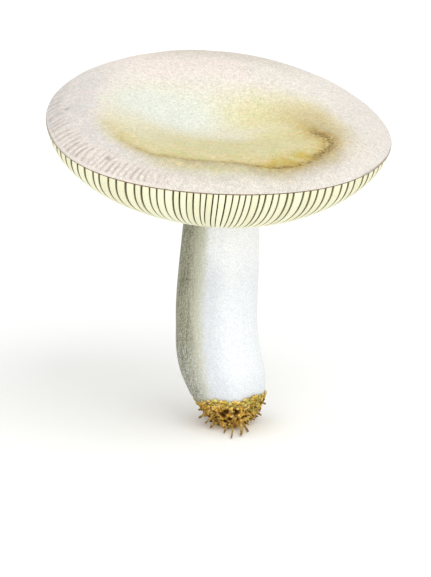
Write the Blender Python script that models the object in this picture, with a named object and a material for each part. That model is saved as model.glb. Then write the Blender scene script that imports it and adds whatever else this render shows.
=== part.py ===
"""A full-grown russula mushroom, standing on the soil that came up with its foot.

It has two pieces: the mushroom, which grew as one body of cap, gills and stem, and the
clump of soil, litter and rootlets that clings to the foot. Lengths are in metres, +Z is
up, -Y faces the viewer, and the origin is the centre of the flat patch under the clump.
"""

import math
import random

import bmesh
import bpy
import numpy as np
from mathutils import Matrix, Vector

MM = 0.001

# Cap: where the middle of its margin lies, how it leans, and its waved outline.
CAP_CENTRE = (-4.1 * MM, -2.0 * MM, 106.7 * MM)
CAP_LEAN_FRONT = math.radians(11.0)
CAP_LEAN_RIGHT = math.radians(5.4)
CAP_RADIUS = 60.4 * MM
# Waves round the margin: how many, their size, the angle of a crest. The outline's sizes
# are shares of the radius, and the lift's are heights.
MARGIN_WAVES = ((2, 0.022, 51.0), (3, 0.018, 6.0), (4, 0.011, 322.0))
MARGIN_LIFTS = ((2, 0.7 * MM, 94.0), (3, 0.35 * MM, 328.0), (4, 0.35 * MM, 354.0))

# Upper face: a raised ring round a shallow dish.
RING_AT = 0.71
RING_HEIGHT = 7.3 * MM
RING_HEIGHT_BACK = 1.9 * MM
DISH_DEPTH = 1.8 * MM
# How round the cap falls from the ring to the margin: two powers of a superellipse.
MARGIN_FALL = (2.2, 0.62)

# Gills: how many, how much closer they stand at the front and the back than on average,
# the bowl their edges make, and how deep they are cut.
GILL_COUNT = 116
GILL_CROWDING = 0.35
GILL_REACH = 29.2 * MM
GILL_CURVE = 1.35
GILL_STEEPNESS = 0.583
GILL_DEPTH = 11.0 * MM
GILL_DEPTH_MARGIN = 0.24
GILL_DEPTH_FULL_AT = 0.55
GILL_WIDTH = 0.68
GILL_END = 0.225
STEM_OFFSET_RIGHT = 4.5 * MM

# Stem: height, place to the right, place to the back, radius.
STEM_STATIONS = (
    (11.5 * MM, -0.4 * MM, 0.3 * MM, 13.2 * MM),
    (18.0 * MM, -1.7 * MM, 0.8 * MM, 14.6 * MM),
    (26.0 * MM, -3.3 * MM, 1.3 * MM, 14.7 * MM),
    (36.0 * MM, -4.0 * MM, 1.9 * MM, 14.2 * MM),
    (48.0 * MM, -3.8 * MM, 2.6 * MM, 14.0 * MM),
    (60.0 * MM, -3.1 * MM, 3.2 * MM, 13.6 * MM),
    (73.5 * MM, -2.3 * MM, 3.5 * MM, 13.0 * MM),
)
STEM_RING_GAP = 6.5 * MM
STEM_TURN_LENGTH = 24.0 * MM
STEM_WAVES = ((2, 0.012, 20.0), (5, 0.006, 65.0))

# Foot: the rounded end of the stem, which the soil holds.
FOOT_HEIGHT = STEM_STATIONS[0][0]
FOOT_BOTTOM = 2.2 * MM
FOOT_ROUNDNESS = 1.15
FOOT_CENTRE_X = 1.6 * MM

# Soil clump: height, centre to the right, radius of its outer face.
CLUMP_STATIONS = (
    (0.0 * MM, 0.0 * MM, 7.8 * MM),
    (1.4 * MM, 0.3 * MM, 9.0 * MM),
    (3.4 * MM, 0.7 * MM, 10.3 * MM),
    (5.8 * MM, 0.9 * MM, 11.7 * MM),
    (8.3 * MM, 0.5 * MM, 12.8 * MM),
    (10.2 * MM, -0.25 * MM, 13.85 * MM),
)
CLUMP_GAP = 0.35 * MM
CLUMP_EDGE_WAVES = ((7, 0.55 * MM, 8.0), (11, 0.33 * MM, 357.0))
# Lumps of the outer face: how many round it, their share of the radius, and their slant.
CLUMP_LUMPS = ((5, 0.022, -900.0), (9, 0.016, 1400.0), (14, 0.010, -2100.0))
CLUMP_EDGE_CALM = 0.85

# Rootlets and needles that stand out of the clump.
ROOTLET_COUNT = 56
ROOTLET_SIDES = 5
ROOTLET_RADIUS = (0.42 * MM, 0.62 * MM)
ROOTLET_TAPER = 0.6
ROOTLET_SUNK = 1.2 * MM
ROOTLET_HEIGHT = (1.3 * MM, 6.0 * MM)
ROOTLET_REACH_SIDE = (11.0 * MM, 13.0 * MM)
ROOTLET_REACH_FRONT = (12.0 * MM, 17.0 * MM)
ROOTLET_DROOP = (0.1, 1.1)
ROOTLET_FLOOR_GAP = 0.35 * MM
ROOTLET_JITTER = 0.35
ROOTLET_TURN = 0.2
GOLDEN_SHARE = 0.381966
SEED = 11

# Columns of points round each ring.
CAP_COLUMNS = GILL_COUNT
STEM_COLUMNS = GILL_COUNT // 2
CROWN_COLUMNS = GILL_COUNT // 4

# Rings: shares of the cap's radius, and turns round the foot in degrees.
GILL_RINGS = (1.0, 0.985, 0.95, 0.88, 0.76, 0.60, 0.44, 0.33, GILL_END)
CAP_RINGS = (0.985, 0.955, 0.90, 0.83, 0.75, 0.68, 0.58, 0.46)
DISH_RINGS = (0.34, 0.20)
CROWN_RING = 0.09
FOOT_RING_TURNS = (8, 20, 38, 55, 70, 81)

# Finishes: name, linear colour, roughness.
CAP_SKIN = ("cap_skin", (0.79, 0.66, 0.52), 0.55)
GILL_FLESH = ("gill_flesh", (0.85, 0.80, 0.55), 0.7)
STEM_FLESH = ("stem_flesh", (0.82, 0.83, 0.80), 0.65)
SOIL = ("soil", (0.40, 0.24, 0.08), 0.95)
SHARP_ANGLE = math.radians(50)

# Which of the mushroom's finishes a face has.
SKIN, GILLS, STEM = range(3)


def clear_scene():
    """Remove every object of the open file."""
    for item in list(bpy.data.objects):
        bpy.data.objects.remove(item, do_unlink=True)


def make_material(name, colour, roughness):
    """Return a plain material of one linear colour."""
    material = bpy.data.materials.new(name)
    material.use_nodes = True
    shader = material.node_tree.nodes["Principled BSDF"]
    shader.inputs["Base Color"].default_value = (*colour, 1.0)
    shader.inputs["Roughness"].default_value = roughness
    shader.inputs["Metallic"].default_value = 0.0
    material.diffuse_color = (*colour, 1.0)
    return material


def smooth(share):
    """Ease from 0 to 1 as the share goes from 0 to 1."""
    held = np.clip(share, 0.0, 1.0)
    return held * held * (3.0 - 2.0 * held)


def wave_sum(waves, angle):
    """Add up cosine waves, each given as a count, a size and the angle of a crest."""
    total = 0.0
    for count, size, crest in waves:
        total = total + size * np.cos(count * (angle - math.radians(crest)))
    return total


def through(stations, column, height):
    """Read a value at a height from a smooth cubic through the stations."""
    table = np.array(stations)
    heights, values = table[:, 0], table[:, column]
    slopes = np.gradient(values, heights)
    i = int(np.clip(np.searchsorted(heights, height) - 1, 0, len(heights) - 2))
    span = heights[i + 1] - heights[i]
    t = min(max((height - heights[i]) / span, 0.0), 1.0)
    start = (2 * t**3 - 3 * t**2 + 1) * values[i] + (t**3 - 2 * t**2 + t) * span * slopes[i]
    end = (3 * t**2 - 2 * t**3) * values[i + 1] + (t**3 - t**2) * span * slopes[i + 1]
    return start + end


def crowded(turns):
    """Change even shares of a turn to angles that lie closer at the front and the back."""
    even = 2 * math.pi * turns
    return even + GILL_CROWDING / 2 * np.sin(2 * even)


def ring_angles(count):
    """Return the angles of a ring's points, the first in a groove between two gills."""
    return crowded(np.arange(count) / count)


def gill_angles():
    """Return three angles for each gill: its groove, then the gill's two sides."""
    groove = np.arange(GILL_COUNT)
    side = (1.0 - GILL_WIDTH) / 2
    steps = np.stack([groove, groove + side, groove + 1 - side], axis=1)
    return crowded(steps.ravel() / GILL_COUNT)


def cap_turn():
    """Return the turn that leans the cap to the front and to the right."""
    return Matrix.Rotation(CAP_LEAN_RIGHT, 3, "Y") @ Matrix.Rotation(CAP_LEAN_FRONT, 3, "X")


def skin_height(share, angle):
    """Height of the upper face: up from the dish to the ring, then a round margin."""
    ring = RING_HEIGHT + RING_HEIGHT_BACK * np.sin(angle)
    rise = smooth(share / RING_AT)
    fall = np.clip((share - RING_AT) / (1.0 - RING_AT), 0.0, 1.0)
    margin = (1.0 - fall ** MARGIN_FALL[0]) ** MARGIN_FALL[1]
    return ring * np.where(share > RING_AT, margin, rise) - DISH_DEPTH * (1.0 - rise)


def gill_edge_height(share):
    """Height of the gills' lower edges: a round bowl from the margin to the stem."""
    along = np.clip((share - GILL_END) / (1.0 - GILL_END), 0.0, 1.0)
    return -GILL_REACH * (1.0 - along**GILL_CURVE) ** GILL_STEEPNESS


def groove_depth(share):
    """Depth of the grooves: nothing at the margin and at the stem, full between them."""
    from_margin = np.clip((1.0 - share) / GILL_DEPTH_MARGIN, 0.0, 1.0)
    from_stem = (share - GILL_END) / (GILL_DEPTH_FULL_AT - GILL_END)
    return GILL_DEPTH * np.sin(from_margin * math.pi / 2) * smooth(from_stem)


def cap_points(share, angle, height, shift=0.0):
    """Place a ring of the cap: a share of the waved outline, at a height above the margin.

    The waves fade towards the middle, and the whole cap leans."""
    radius = CAP_RADIUS * share * (1.0 + share * wave_sum(MARGIN_WAVES, angle))
    lift = wave_sum(MARGIN_LIFTS, angle) * share**2
    flat = np.stack([radius * np.cos(angle) + shift, radius * np.sin(angle), height + lift], axis=1)
    return flat @ np.array(cap_turn()).T + np.array(CAP_CENTRE)


def skin_ring(share, count):
    """Points of one ring of the cap's upper face."""
    angle = ring_angles(count)
    return cap_points(share, angle, skin_height(np.full(count, share), angle))


def gill_ring(share):
    """Points of one ring of the gilled face: in each groove, then on the gill's two sides."""
    angle = gill_angles()
    height = np.full(len(angle), gill_edge_height(share))
    height[0::3] += groove_depth(share)
    return cap_points(share, angle, height, STEM_OFFSET_RIGHT * (1.0 - share))


def foot_radius(height):
    """Radius of the rounded foot: it shrinks to nothing at the bottom, like a blunt egg."""
    drop = (FOOT_HEIGHT - height) / (FOOT_HEIGHT - FOOT_BOTTOM)
    return STEM_STATIONS[0][3] * math.sqrt(1.0 - min(max(drop, 0.0), 1.0) ** FOOT_ROUNDNESS)


def foot_heights():
    """Heights of the foot's rings, closer together towards its bottom."""
    turns = [math.radians(angle) for angle in FOOT_RING_TURNS]
    return [FOOT_HEIGHT - (FOOT_HEIGHT - FOOT_BOTTOM) * math.sin(turn) for turn in turns]


def stem_centre(height):
    """Middle of the stem at a height, which runs on to the foot's own centre below it."""
    if height >= FOOT_HEIGHT:
        return through(STEM_STATIONS, 1, height), through(STEM_STATIONS, 2, height)
    down = (FOOT_HEIGHT - height) / (FOOT_HEIGHT - FOOT_BOTTOM)
    _, start_x, start_y, _ = STEM_STATIONS[0]
    return start_x + (FOOT_CENTRE_X - start_x) * down, start_y * (1.0 - down)


def stem_ring(height, count):
    """Points of one ring of the stem, which leans with the cap near the top."""
    angle = ring_angles(count)
    base = through(STEM_STATIONS, 3, height) if height >= FOOT_HEIGHT else foot_radius(height)
    radius = base * (1.0 + wave_sum(STEM_WAVES, angle))
    top = STEM_STATIONS[-1][0]
    lean = float(smooth((height - top + STEM_TURN_LENGTH) / STEM_TURN_LENGTH))
    turn = Matrix.Identity(3).lerp(cap_turn(), lean)
    flat = np.stack([radius * np.cos(angle), radius * np.sin(angle), np.zeros(count)], axis=1)
    middle = np.array([*stem_centre(height), height])
    return flat @ np.array(turn).T + middle


def add_ring(bm, points):
    """Add a ring of points to the mesh."""
    return [bm.verts.new(point) for point in points.tolist()]


def add_face(bm, corners, material):
    """Add one triangle of a material."""
    bm.faces.new(corners).material_index = material


def join_rings(bm, ring, next_ring, material):
    """Skin two rings, where one has a whole multiple of the other's points."""
    fine, coarse = (ring, next_ring) if len(ring) >= len(next_ring) else (next_ring, ring)
    step = len(fine) // len(coarse)
    for i, corner in enumerate(coarse):
        next_corner = coarse[(i + 1) % len(coarse)]
        stretch = [fine[(i * step + k) % len(fine)] for k in range(step + 1)]
        turn_at = (step + 1) // 2
        for k in range(step):
            add_face(bm, (stretch[k], stretch[k + 1], corner if k < turn_at else next_corner), material)
            if k == turn_at - 1:
                add_face(bm, (stretch[turn_at], next_corner, corner), material)


def close_ring(bm, ring, point, material):
    """Close a ring with a fan to one point."""
    pole = bm.verts.new(point)
    for i, corner in enumerate(ring):
        add_face(bm, (corner, ring[(i + 1) % len(ring)], pole), material)


def finish_object(name, bm, materials):
    """Turn the mesh into a named object, with its faces pointing out and shaded smooth."""
    bmesh.ops.recalc_face_normals(bm, faces=bm.faces)
    mesh = bpy.data.meshes.new(name)
    bm.to_mesh(mesh)
    bm.free()
    for material in materials:
        mesh.materials.append(material)
    mesh.shade_smooth()
    mesh.set_sharp_from_angle(angle=SHARP_ANGLE)
    piece = bpy.data.objects.new(name, mesh)
    bpy.context.scene.collection.objects.link(piece)
    return piece


def skin_chain(bm, rings, material):
    """Skin each ring to the next one."""
    for ring, next_ring in zip(rings, rings[1:]):
        join_rings(bm, ring, next_ring, material)


def make_mushroom():
    """Build cap, gills and stem as one closed skin, from the dish down to the foot."""
    bm = bmesh.new()
    gills = [add_ring(bm, gill_ring(share)) for share in GILL_RINGS]
    skin_chain(bm, gills, GILLS)

    skin = [add_ring(bm, skin_ring(share, CAP_COLUMNS)) for share in CAP_RINGS]
    dish = [add_ring(bm, skin_ring(share, STEM_COLUMNS)) for share in DISH_RINGS]
    crown = add_ring(bm, skin_ring(CROWN_RING, CROWN_COLUMNS))
    skin_chain(bm, [gills[0], *skin, *dish, crown], SKIN)
    middle = cap_points(0.0, np.zeros(1), np.array([-DISH_DEPTH]))[0]
    close_ring(bm, crown, middle, SKIN)

    top = STEM_STATIONS[-1][0]
    gaps = round((top - FOOT_HEIGHT) / STEM_RING_GAP)
    heights = [top + (FOOT_HEIGHT - top) * (k + 1) / gaps for k in range(gaps)] + foot_heights()
    stem = [add_ring(bm, stem_ring(top, CAP_COLUMNS))]
    stem += [add_ring(bm, stem_ring(height, STEM_COLUMNS)) for height in heights]
    skin_chain(bm, [gills[-1], *stem], STEM)
    close_ring(bm, stem[-1], (FOOT_CENTRE_X, 0.0, FOOT_BOTTOM), STEM)

    materials = [make_material(*finish) for finish in (CAP_SKIN, GILL_FLESH, STEM_FLESH)]
    return finish_object("mushroom", bm, materials)


def clump_radius(height, angle):
    """Radius of the clump's outer face, with lumps that die out at its patch and its edge."""
    base = through(CLUMP_STATIONS, 2, height)
    near_edge = (height / CLUMP_STATIONS[-1][0]) ** 3
    share = smooth(height / CLUMP_STATIONS[1][0]) * (1.0 - CLUMP_EDGE_CALM * near_edge)
    lumps = sum(size * np.sin(count * angle - slant * height) for count, size, slant in CLUMP_LUMPS)
    return base * (1.0 + share * lumps)


def clump_outer_ring(height):
    """Points of one ring of the clump's outer face."""
    angle = ring_angles(STEM_COLUMNS)
    radius = clump_radius(height, angle)
    centre = through(CLUMP_STATIONS, 1, height)
    lift = wave_sum(CLUMP_EDGE_WAVES, angle) * (height / CLUMP_STATIONS[-1][0]) ** 2
    return np.stack([centre + radius * np.cos(angle), radius * np.sin(angle), height + lift], axis=1)


def clump_inner_ring(height):
    """Points of one ring of the hollow that holds the foot, a small gap away from it."""
    step = 0.05 * MM
    slope = (foot_radius(height + step) - foot_radius(height - step)) / (2 * step)
    out = CLUMP_GAP / math.sqrt(1.0 + slope * slope)
    ring = stem_ring(height, STEM_COLUMNS)
    middle = np.array([*stem_centre(height), height])
    away = ring - middle
    away = away / np.linalg.norm(away, axis=1, keepdims=True)
    return ring + away * out - np.array([0.0, 0.0, out * slope])


def make_clump_body(soil):
    """Build the clump as a thick cup: a flat patch below, lumpy walls, the foot's hollow."""
    bm = bmesh.new()
    outer = [add_ring(bm, clump_outer_ring(station[0])) for station in CLUMP_STATIONS]
    close_ring(bm, outer[0], (0.0, 0.0, 0.0), 0)
    skin_chain(bm, outer, 0)
    inner = [add_ring(bm, clump_inner_ring(height)) for height in foot_heights()]
    skin_chain(bm, [outer[-1], *inner], 0)
    close_ring(bm, inner[-1], (FOOT_CENTRE_X, 0.0, FOOT_BOTTOM - CLUMP_GAP), 0)
    return finish_object("soil_clump", bm, (soil,))


def clump_place(angle, reach, height):
    """Return a point at a distance from the clump's middle, at a height."""
    centre = through(CLUMP_STATIONS, 1, height)
    return Vector((centre + reach * math.cos(angle), reach * math.sin(angle), height))


def make_rootlet(draw, index, collection, soil):
    """Add one tapered rootlet, sunk in the clump's wall and drooping out of it."""
    angle = 2 * math.pi * (index + draw.uniform(-ROOTLET_JITTER, ROOTLET_JITTER)) * GOLDEN_SHARE
    height = draw.uniform(*ROOTLET_HEIGHT)
    radius = draw.uniform(*ROOTLET_RADIUS)
    share = draw.random()
    side = float(np.interp(share, (0, 1), ROOTLET_REACH_SIDE))
    front = float(np.interp(share, (0, 1), ROOTLET_REACH_FRONT))
    reach = side + (front - side) * math.sin(angle) ** 2
    tip_height = max(height * (1.0 - draw.uniform(*ROOTLET_DROOP)), ROOTLET_FLOOR_GAP + radius)
    heading = angle + draw.uniform(-ROOTLET_TURN, ROOTLET_TURN)
    root = clump_place(angle, through(CLUMP_STATIONS, 2, height) - ROOTLET_SUNK, height)
    tip = clump_place(heading, reach, tip_height)

    along = tip - root
    turn = along.to_track_quat("Z", "Y").to_matrix().to_4x4()
    bm = bmesh.new()
    bmesh.ops.create_cone(
        bm,
        cap_ends=True,
        segments=ROOTLET_SIDES,
        radius1=radius,
        radius2=radius * ROOTLET_TAPER,
        depth=along.length,
        matrix=Matrix.Translation((root + tip) / 2) @ turn,
    )
    rootlet = finish_object(f"rootlet_{index}", bm, (soil,))
    bpy.context.scene.collection.objects.unlink(rootlet)
    collection.objects.link(rootlet)


def make_soil_clump():
    """Build the clump, stand its rootlets in it and join them into one body."""
    soil = make_material(*SOIL)
    clump = make_clump_body(soil)
    rootlets = bpy.data.collections.new("rootlets")
    bpy.context.scene.collection.children.link(rootlets)
    draw = random.Random(SEED)
    for index in range(ROOTLET_COUNT):
        make_rootlet(draw, index, rootlets, soil)

    union = clump.modifiers.new("join_rootlets", "BOOLEAN")
    union.operation = "UNION"
    union.operand_type = "COLLECTION"
    union.collection = rootlets
    union.solver = "EXACT"
    bpy.context.view_layer.objects.active = clump
    bpy.ops.object.modifier_apply(modifier=union.name)

    for rootlet in list(rootlets.objects):
        bpy.data.objects.remove(rootlet, do_unlink=True)
    bpy.data.collections.remove(rootlets)
    return clump


def main():
    """Build both pieces."""
    clear_scene()
    make_mushroom()
    make_soil_clump()


main()
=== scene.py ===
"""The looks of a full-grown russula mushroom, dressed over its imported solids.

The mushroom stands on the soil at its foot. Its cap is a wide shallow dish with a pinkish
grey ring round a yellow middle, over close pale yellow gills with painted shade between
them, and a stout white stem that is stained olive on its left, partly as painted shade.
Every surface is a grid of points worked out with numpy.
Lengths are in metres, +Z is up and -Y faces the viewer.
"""

import logging
import math
from dataclasses import dataclass
from enum import Enum

import bpy
import numpy as np
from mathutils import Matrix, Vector


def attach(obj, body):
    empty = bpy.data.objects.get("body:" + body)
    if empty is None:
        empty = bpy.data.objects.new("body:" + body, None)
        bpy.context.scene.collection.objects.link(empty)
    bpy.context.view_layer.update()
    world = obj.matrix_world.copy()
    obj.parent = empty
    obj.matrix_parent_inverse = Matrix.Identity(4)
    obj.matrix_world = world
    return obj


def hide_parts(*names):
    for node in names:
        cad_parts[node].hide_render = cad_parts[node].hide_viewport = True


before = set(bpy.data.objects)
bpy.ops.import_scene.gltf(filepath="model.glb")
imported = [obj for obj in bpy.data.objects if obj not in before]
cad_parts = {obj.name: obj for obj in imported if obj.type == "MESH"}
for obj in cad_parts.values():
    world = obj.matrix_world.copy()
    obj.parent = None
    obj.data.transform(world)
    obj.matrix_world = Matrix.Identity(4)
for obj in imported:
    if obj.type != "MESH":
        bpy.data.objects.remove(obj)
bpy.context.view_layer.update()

MM = 0.001
BODY = "root"
FULL_TURN = 2 * math.pi
UP = np.array([0.0, 0.0, 1.0])

Array = np.ndarray
Place = tuple[float, float, float]
Waves = tuple[tuple[int, float, float], ...]
Piece = bpy.types.Object
Socket = bpy.types.NodeSocket

log = logging.getLogger("mushroom")


class Slot(Enum):
    """The record's material slots."""

    FLESH = "mushroom_flesh"
    SOIL = "soil"


class Node(Enum):
    """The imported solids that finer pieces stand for."""

    MUSHROOM = "mushroom"
    CLUMP = "soil_clump"


# Shape helpers


def held(value: Array | float) -> Array:
    """Hold numbers between 0 and 1."""
    return np.clip(value, 0.0, 1.0)


def smooth(share: Array | float) -> Array:
    """Ease from 0 to 1 as the share goes from 0 to 1: 3t² - 2t³ on the held share."""
    t = held(share)
    return t * t * (3.0 - 2.0 * t)


def between(value: Array, start: float, end: float) -> Array:
    """Ease from 0 at the start to 1 at the end; the end may lie below the start."""
    return smooth((value - start) / (end - start))


def hill(distance: Array, width: Array | float) -> Array:
    """A bell of height 1 and the given half width: exp(-(distance / width)²)."""
    return np.exp(-((distance / width) ** 2))


def mix(low: Array | float, high: Array | float, share: Array | float) -> Array:
    """Go straight from the low value to the high one as the share goes from 0 to 1."""
    return low + (high - low) * share


def wave_sum(waves: Waves, angle: Array) -> Array:
    """Add up cosine waves, each given as a count, a size and its crest's angle in degrees."""
    total = np.zeros_like(angle)
    for count, size, crest in waves:
        total = total + size * np.cos(count * (angle - math.radians(crest)))
    return total


def even_turn(count: int) -> Array:
    """Angles evenly round a full turn, from +X."""
    return np.arange(count) * FULL_TURN / count


def outward(angle: Array) -> Array:
    """Level unit vectors that point out at angles from +X."""
    return np.stack([np.cos(angle), np.sin(angle), np.zeros_like(angle)], axis=-1)


def towards(angle: Array, side: float, start: float, end: float) -> Array:
    """Ease from 0 to 1 as angles turn towards a side.

    Args:
        angle: angles from +X.
        side: the side, in degrees from +X.
        start: the cosine of the angle between them where it starts.
        end: the cosine where it is whole.

    Returns:
        Numbers from 0 to 1.
    """
    return between(np.cos(angle - math.radians(side)), start, end)


def by_side(degrees: Array, side: float, start: float, end: float) -> Array:
    """Ease from 0 to 1 as degrees come nearer to a side than the start, and then the end."""
    return between(np.abs((degrees - side + 180.0) % 360.0 - 180.0), start, end)


def ball(latitudes: tuple[float, ...], columns: int) -> Array:
    """Points of a unit ball.

    Args:
        latitudes: the rows' latitudes in degrees, from the top down.
        columns: how many points a row has.

    Returns:
        Places, as row, column and three numbers.
    """
    latitude = np.radians(latitudes)[:, None]
    around = even_turn(columns)
    level = [np.cos(latitude) * np.cos(around), np.cos(latitude) * np.sin(around)]
    return np.stack([*level, np.sin(latitude) + 0 * around], axis=-1)


def lattice_value(corner: Array, seed: int) -> Array:
    """A fixed random value between -1 and 1 for each whole-numbered corner.

    The three numbers are folded into one with large odd factors, and its bits are mixed
    twice by shifting and multiplying.

    Args:
        corner: whole numbers, three in the last axis.
        seed: picks another set of values.

    Returns:
        One value for each corner.
    """
    whole = corner.astype(np.int64)
    folded = whole[..., 0] * 374761393 + whole[..., 1] * 668265263 + whole[..., 2] * 1440662683
    mixed = (folded + seed * 69069) & 0xFFFFFFFF
    mixed = ((mixed ^ (mixed >> 15)) * 2246822519) & 0xFFFFFFFF
    mixed = ((mixed ^ (mixed >> 13)) * 3266489917) & 0xFFFFFFFF
    return ((mixed ^ (mixed >> 16)) & 0xFFFF) / 32767.5 - 1.0


def soft_noise(points: Array, cell: float, seed: int) -> Array:
    """Smooth noise between -1 and 1 at each point.

    Every corner of a cubic lattice has a fixed random value, and a point blends the eight
    round it, eased along each axis.

    Args:
        points: places, three numbers in the last axis.
        cell: the lattice's spacing.
        seed: picks another noise.

    Returns:
        One value for each point.
    """
    scaled = points / cell
    corner = np.floor(scaled)
    ease = smooth(scaled - corner)
    total = np.zeros(points.shape[:-1])
    for step in np.ndindex(2, 2, 2):
        offset = np.array(step)
        weight = np.prod(np.where(offset == 1, ease, 1.0 - ease), axis=-1)
        total = total + weight * lattice_value(corner + offset, seed)
    return total


def layered_noise(points: Array, cell: float, seed: int, layers: int = 3) -> Array:
    """Add layers of soft noise, each with half the spacing and half the strength."""
    total = np.zeros(points.shape[:-1])
    for layer in range(layers):
        total = total + soft_noise(points, cell / 2**layer, seed + layer) / 2**layer
    return total / (2.0 - 0.5 ** (layers - 1))


def turn_about_x(angle: float) -> Array:
    """The matrix of a turn about +X."""
    c, s = math.cos(angle), math.sin(angle)
    return np.array([[1, 0, 0], [0, c, -s], [0, s, c]])


def turn_about_y(angle: float) -> Array:
    """The matrix of a turn about +Y."""
    c, s = math.cos(angle), math.sin(angle)
    return np.array([[c, 0, s], [0, 1, 0], [-s, 0, c]])


# Meshes


class Net:
    """Gathers rings of points and the faces between them into one mesh.

    Rings run anticlockwise as seen from their own outer side, and each one is joined to
    the one before it, so faces point outwards when the rings are added from the top of a
    shape down.
    """

    def __init__(self) -> None:
        """Start with no points."""
        self.points: list[Array] = []
        self.values: dict[str, list[Array]] = {}
        self.quads: list[Array] = []
        self.triangles: list[Array] = []
        self.size = 0

    def add(self, points: Array, **values: Array) -> Array:
        """Add points with their values.

        Args:
            points: places, three numbers in the last axis.
            **values: numbers to keep with each point, by name.

        Returns:
            The new points' indices, in the shape of the points.
        """
        shape = points.shape[:-1]
        flat = points.reshape(-1, 3)
        self.points.append(flat)
        for name, value in values.items():
            filled = np.broadcast_to(value, shape).reshape(-1)
            self.values.setdefault(name, []).append(filled)
        start = self.size
        self.size += len(flat)
        return np.arange(start, self.size).reshape(shape)

    def join(self, upper: Array, lower: Array) -> None:
        """Join two closed rings; one may have a whole multiple of the other's points.

        With as many points in both, quads join them. Otherwise each step of the finer ring
        makes a triangle with the coarse point nearest to it, and one more triangle where
        that point changes.

        Args:
            upper: indices of the ring nearer to the shape's top.
            lower: indices of the ring under it.
        """
        if len(upper) == len(lower):
            quads = [upper, lower, np.roll(lower, -1), np.roll(upper, -1)]
            self.quads.append(np.stack(quads, axis=1))
            return
        fine, coarse = (upper, lower) if len(upper) > len(lower) else (lower, upper)
        step = len(fine) // len(coarse)
        place = np.arange(len(fine))
        near = ((place + step // 2) // step) % len(coarse)
        next_near = np.roll(near, -1)
        first = np.stack([fine, np.roll(fine, -1), coarse[near]], axis=1)
        turns = near != next_near
        second = np.stack([np.roll(fine, -1), coarse[next_near], coarse[near]], axis=1)[turns]
        both = np.concatenate([first, second])
        self.triangles.append(both[:, ::-1] if fine is upper else both)

    def chain(self, rings: list[Array], upwards: bool = False) -> None:
        """Join each ring to the next one, from the top down or upwards."""
        for first, second in zip(rings, rings[1:]):
            self.join(*((second, first) if upwards else (first, second)))

    def close_top(self, point: Array, ring: Array, **values: float) -> None:
        """Close the first ring with a fan to a point above it."""
        pole = self.add(point[None], **values)
        fan = [np.broadcast_to(pole, ring.shape), ring, np.roll(ring, -1)]
        self.triangles.append(np.stack(fan, axis=1))

    def close_bottom(self, point: Array, ring: Array, **values: float) -> None:
        """Close the last ring with a fan to a point below it."""
        pole = self.add(point[None], **values)
        fan = [np.broadcast_to(pole, ring.shape), np.roll(ring, -1), ring]
        self.triangles.append(np.stack(fan, axis=1))

    def add_stalks(self, rows: Array, tips: Array, **values: Array) -> None:
        """Add many closed stalks at once.

        Args:
            rows: their rings' points, as stalk, row, column and place, from the tip down.
            tips: the two closing points of each stalk, first the tip's and then the root's.
            **values: numbers of each point, as stalk, row and column, or of each stalk.
        """
        full = {name: np.broadcast_to(value, rows.shape[:3]) for name, value in values.items()}
        index = self.add(rows, **full)
        ends = self.add(tips, **{name: value[:, [0, -1], 0] for name, value in full.items()})
        beside = np.roll(index, -1, 2)
        quads = [index[:, :-1], index[:, 1:], beside[:, 1:], beside[:, :-1]]
        self.quads.append(np.stack(quads, axis=-1).reshape(-1, 4))
        for end, row, turn in ((0, 0, 1), (1, -1, -1)):
            ring = index[:, row]
            pole = np.broadcast_to(ends[:, end, None], ring.shape)
            fan = [pole, ring, np.roll(ring, -1, 1)][::turn]
            self.triangles.append(np.stack(fan, axis=-1).reshape(-1, 3))

    def build(self, name: str) -> Piece:
        """Make the mesh and its object.

        Args:
            name: the piece's name.

        Returns:
            The new object, at the origin and shaded smooth.
        """
        faces = [row for part in (*self.quads, *self.triangles) for row in part.tolist()]
        mesh = bpy.data.meshes.new(name)
        mesh.from_pydata(np.concatenate(self.points).tolist(), [], faces)
        for key, parts in self.values.items():
            layer = mesh.attributes.new(key, "FLOAT", "POINT")
            layer.data.foreach_set("value", np.concatenate(parts).astype(np.float32))
        mesh.shade_smooth()
        piece = bpy.data.objects.new(name, mesh)
        bpy.context.scene.collection.objects.link(piece)
        return piece


def hand_over(piece: Piece, node: Node, slot: Slot, finish: "Finish") -> None:
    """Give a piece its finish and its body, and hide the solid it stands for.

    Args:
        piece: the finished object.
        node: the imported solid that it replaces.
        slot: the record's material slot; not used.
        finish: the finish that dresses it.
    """
    piece.data.materials.append(finish.material())
    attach(piece, BODY)
    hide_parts(node.value)
    faces = sum(len(face.vertices) - 2 for face in piece.data.polygons)
    log.info("%s: %d triangles", piece.name, faces)


# Finishes


def linear(colour: Place) -> tuple[float, float, float, float]:
    """Change a screen colour from 0 to 255 into a linear one from 0 to 1, with full alpha."""
    share = np.array(colour) / 255.0
    values = np.where(share <= 0.04045, share / 12.92, ((share + 0.055) / 1.055) ** 2.4)
    return (*values.tolist(), 1.0)


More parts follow.
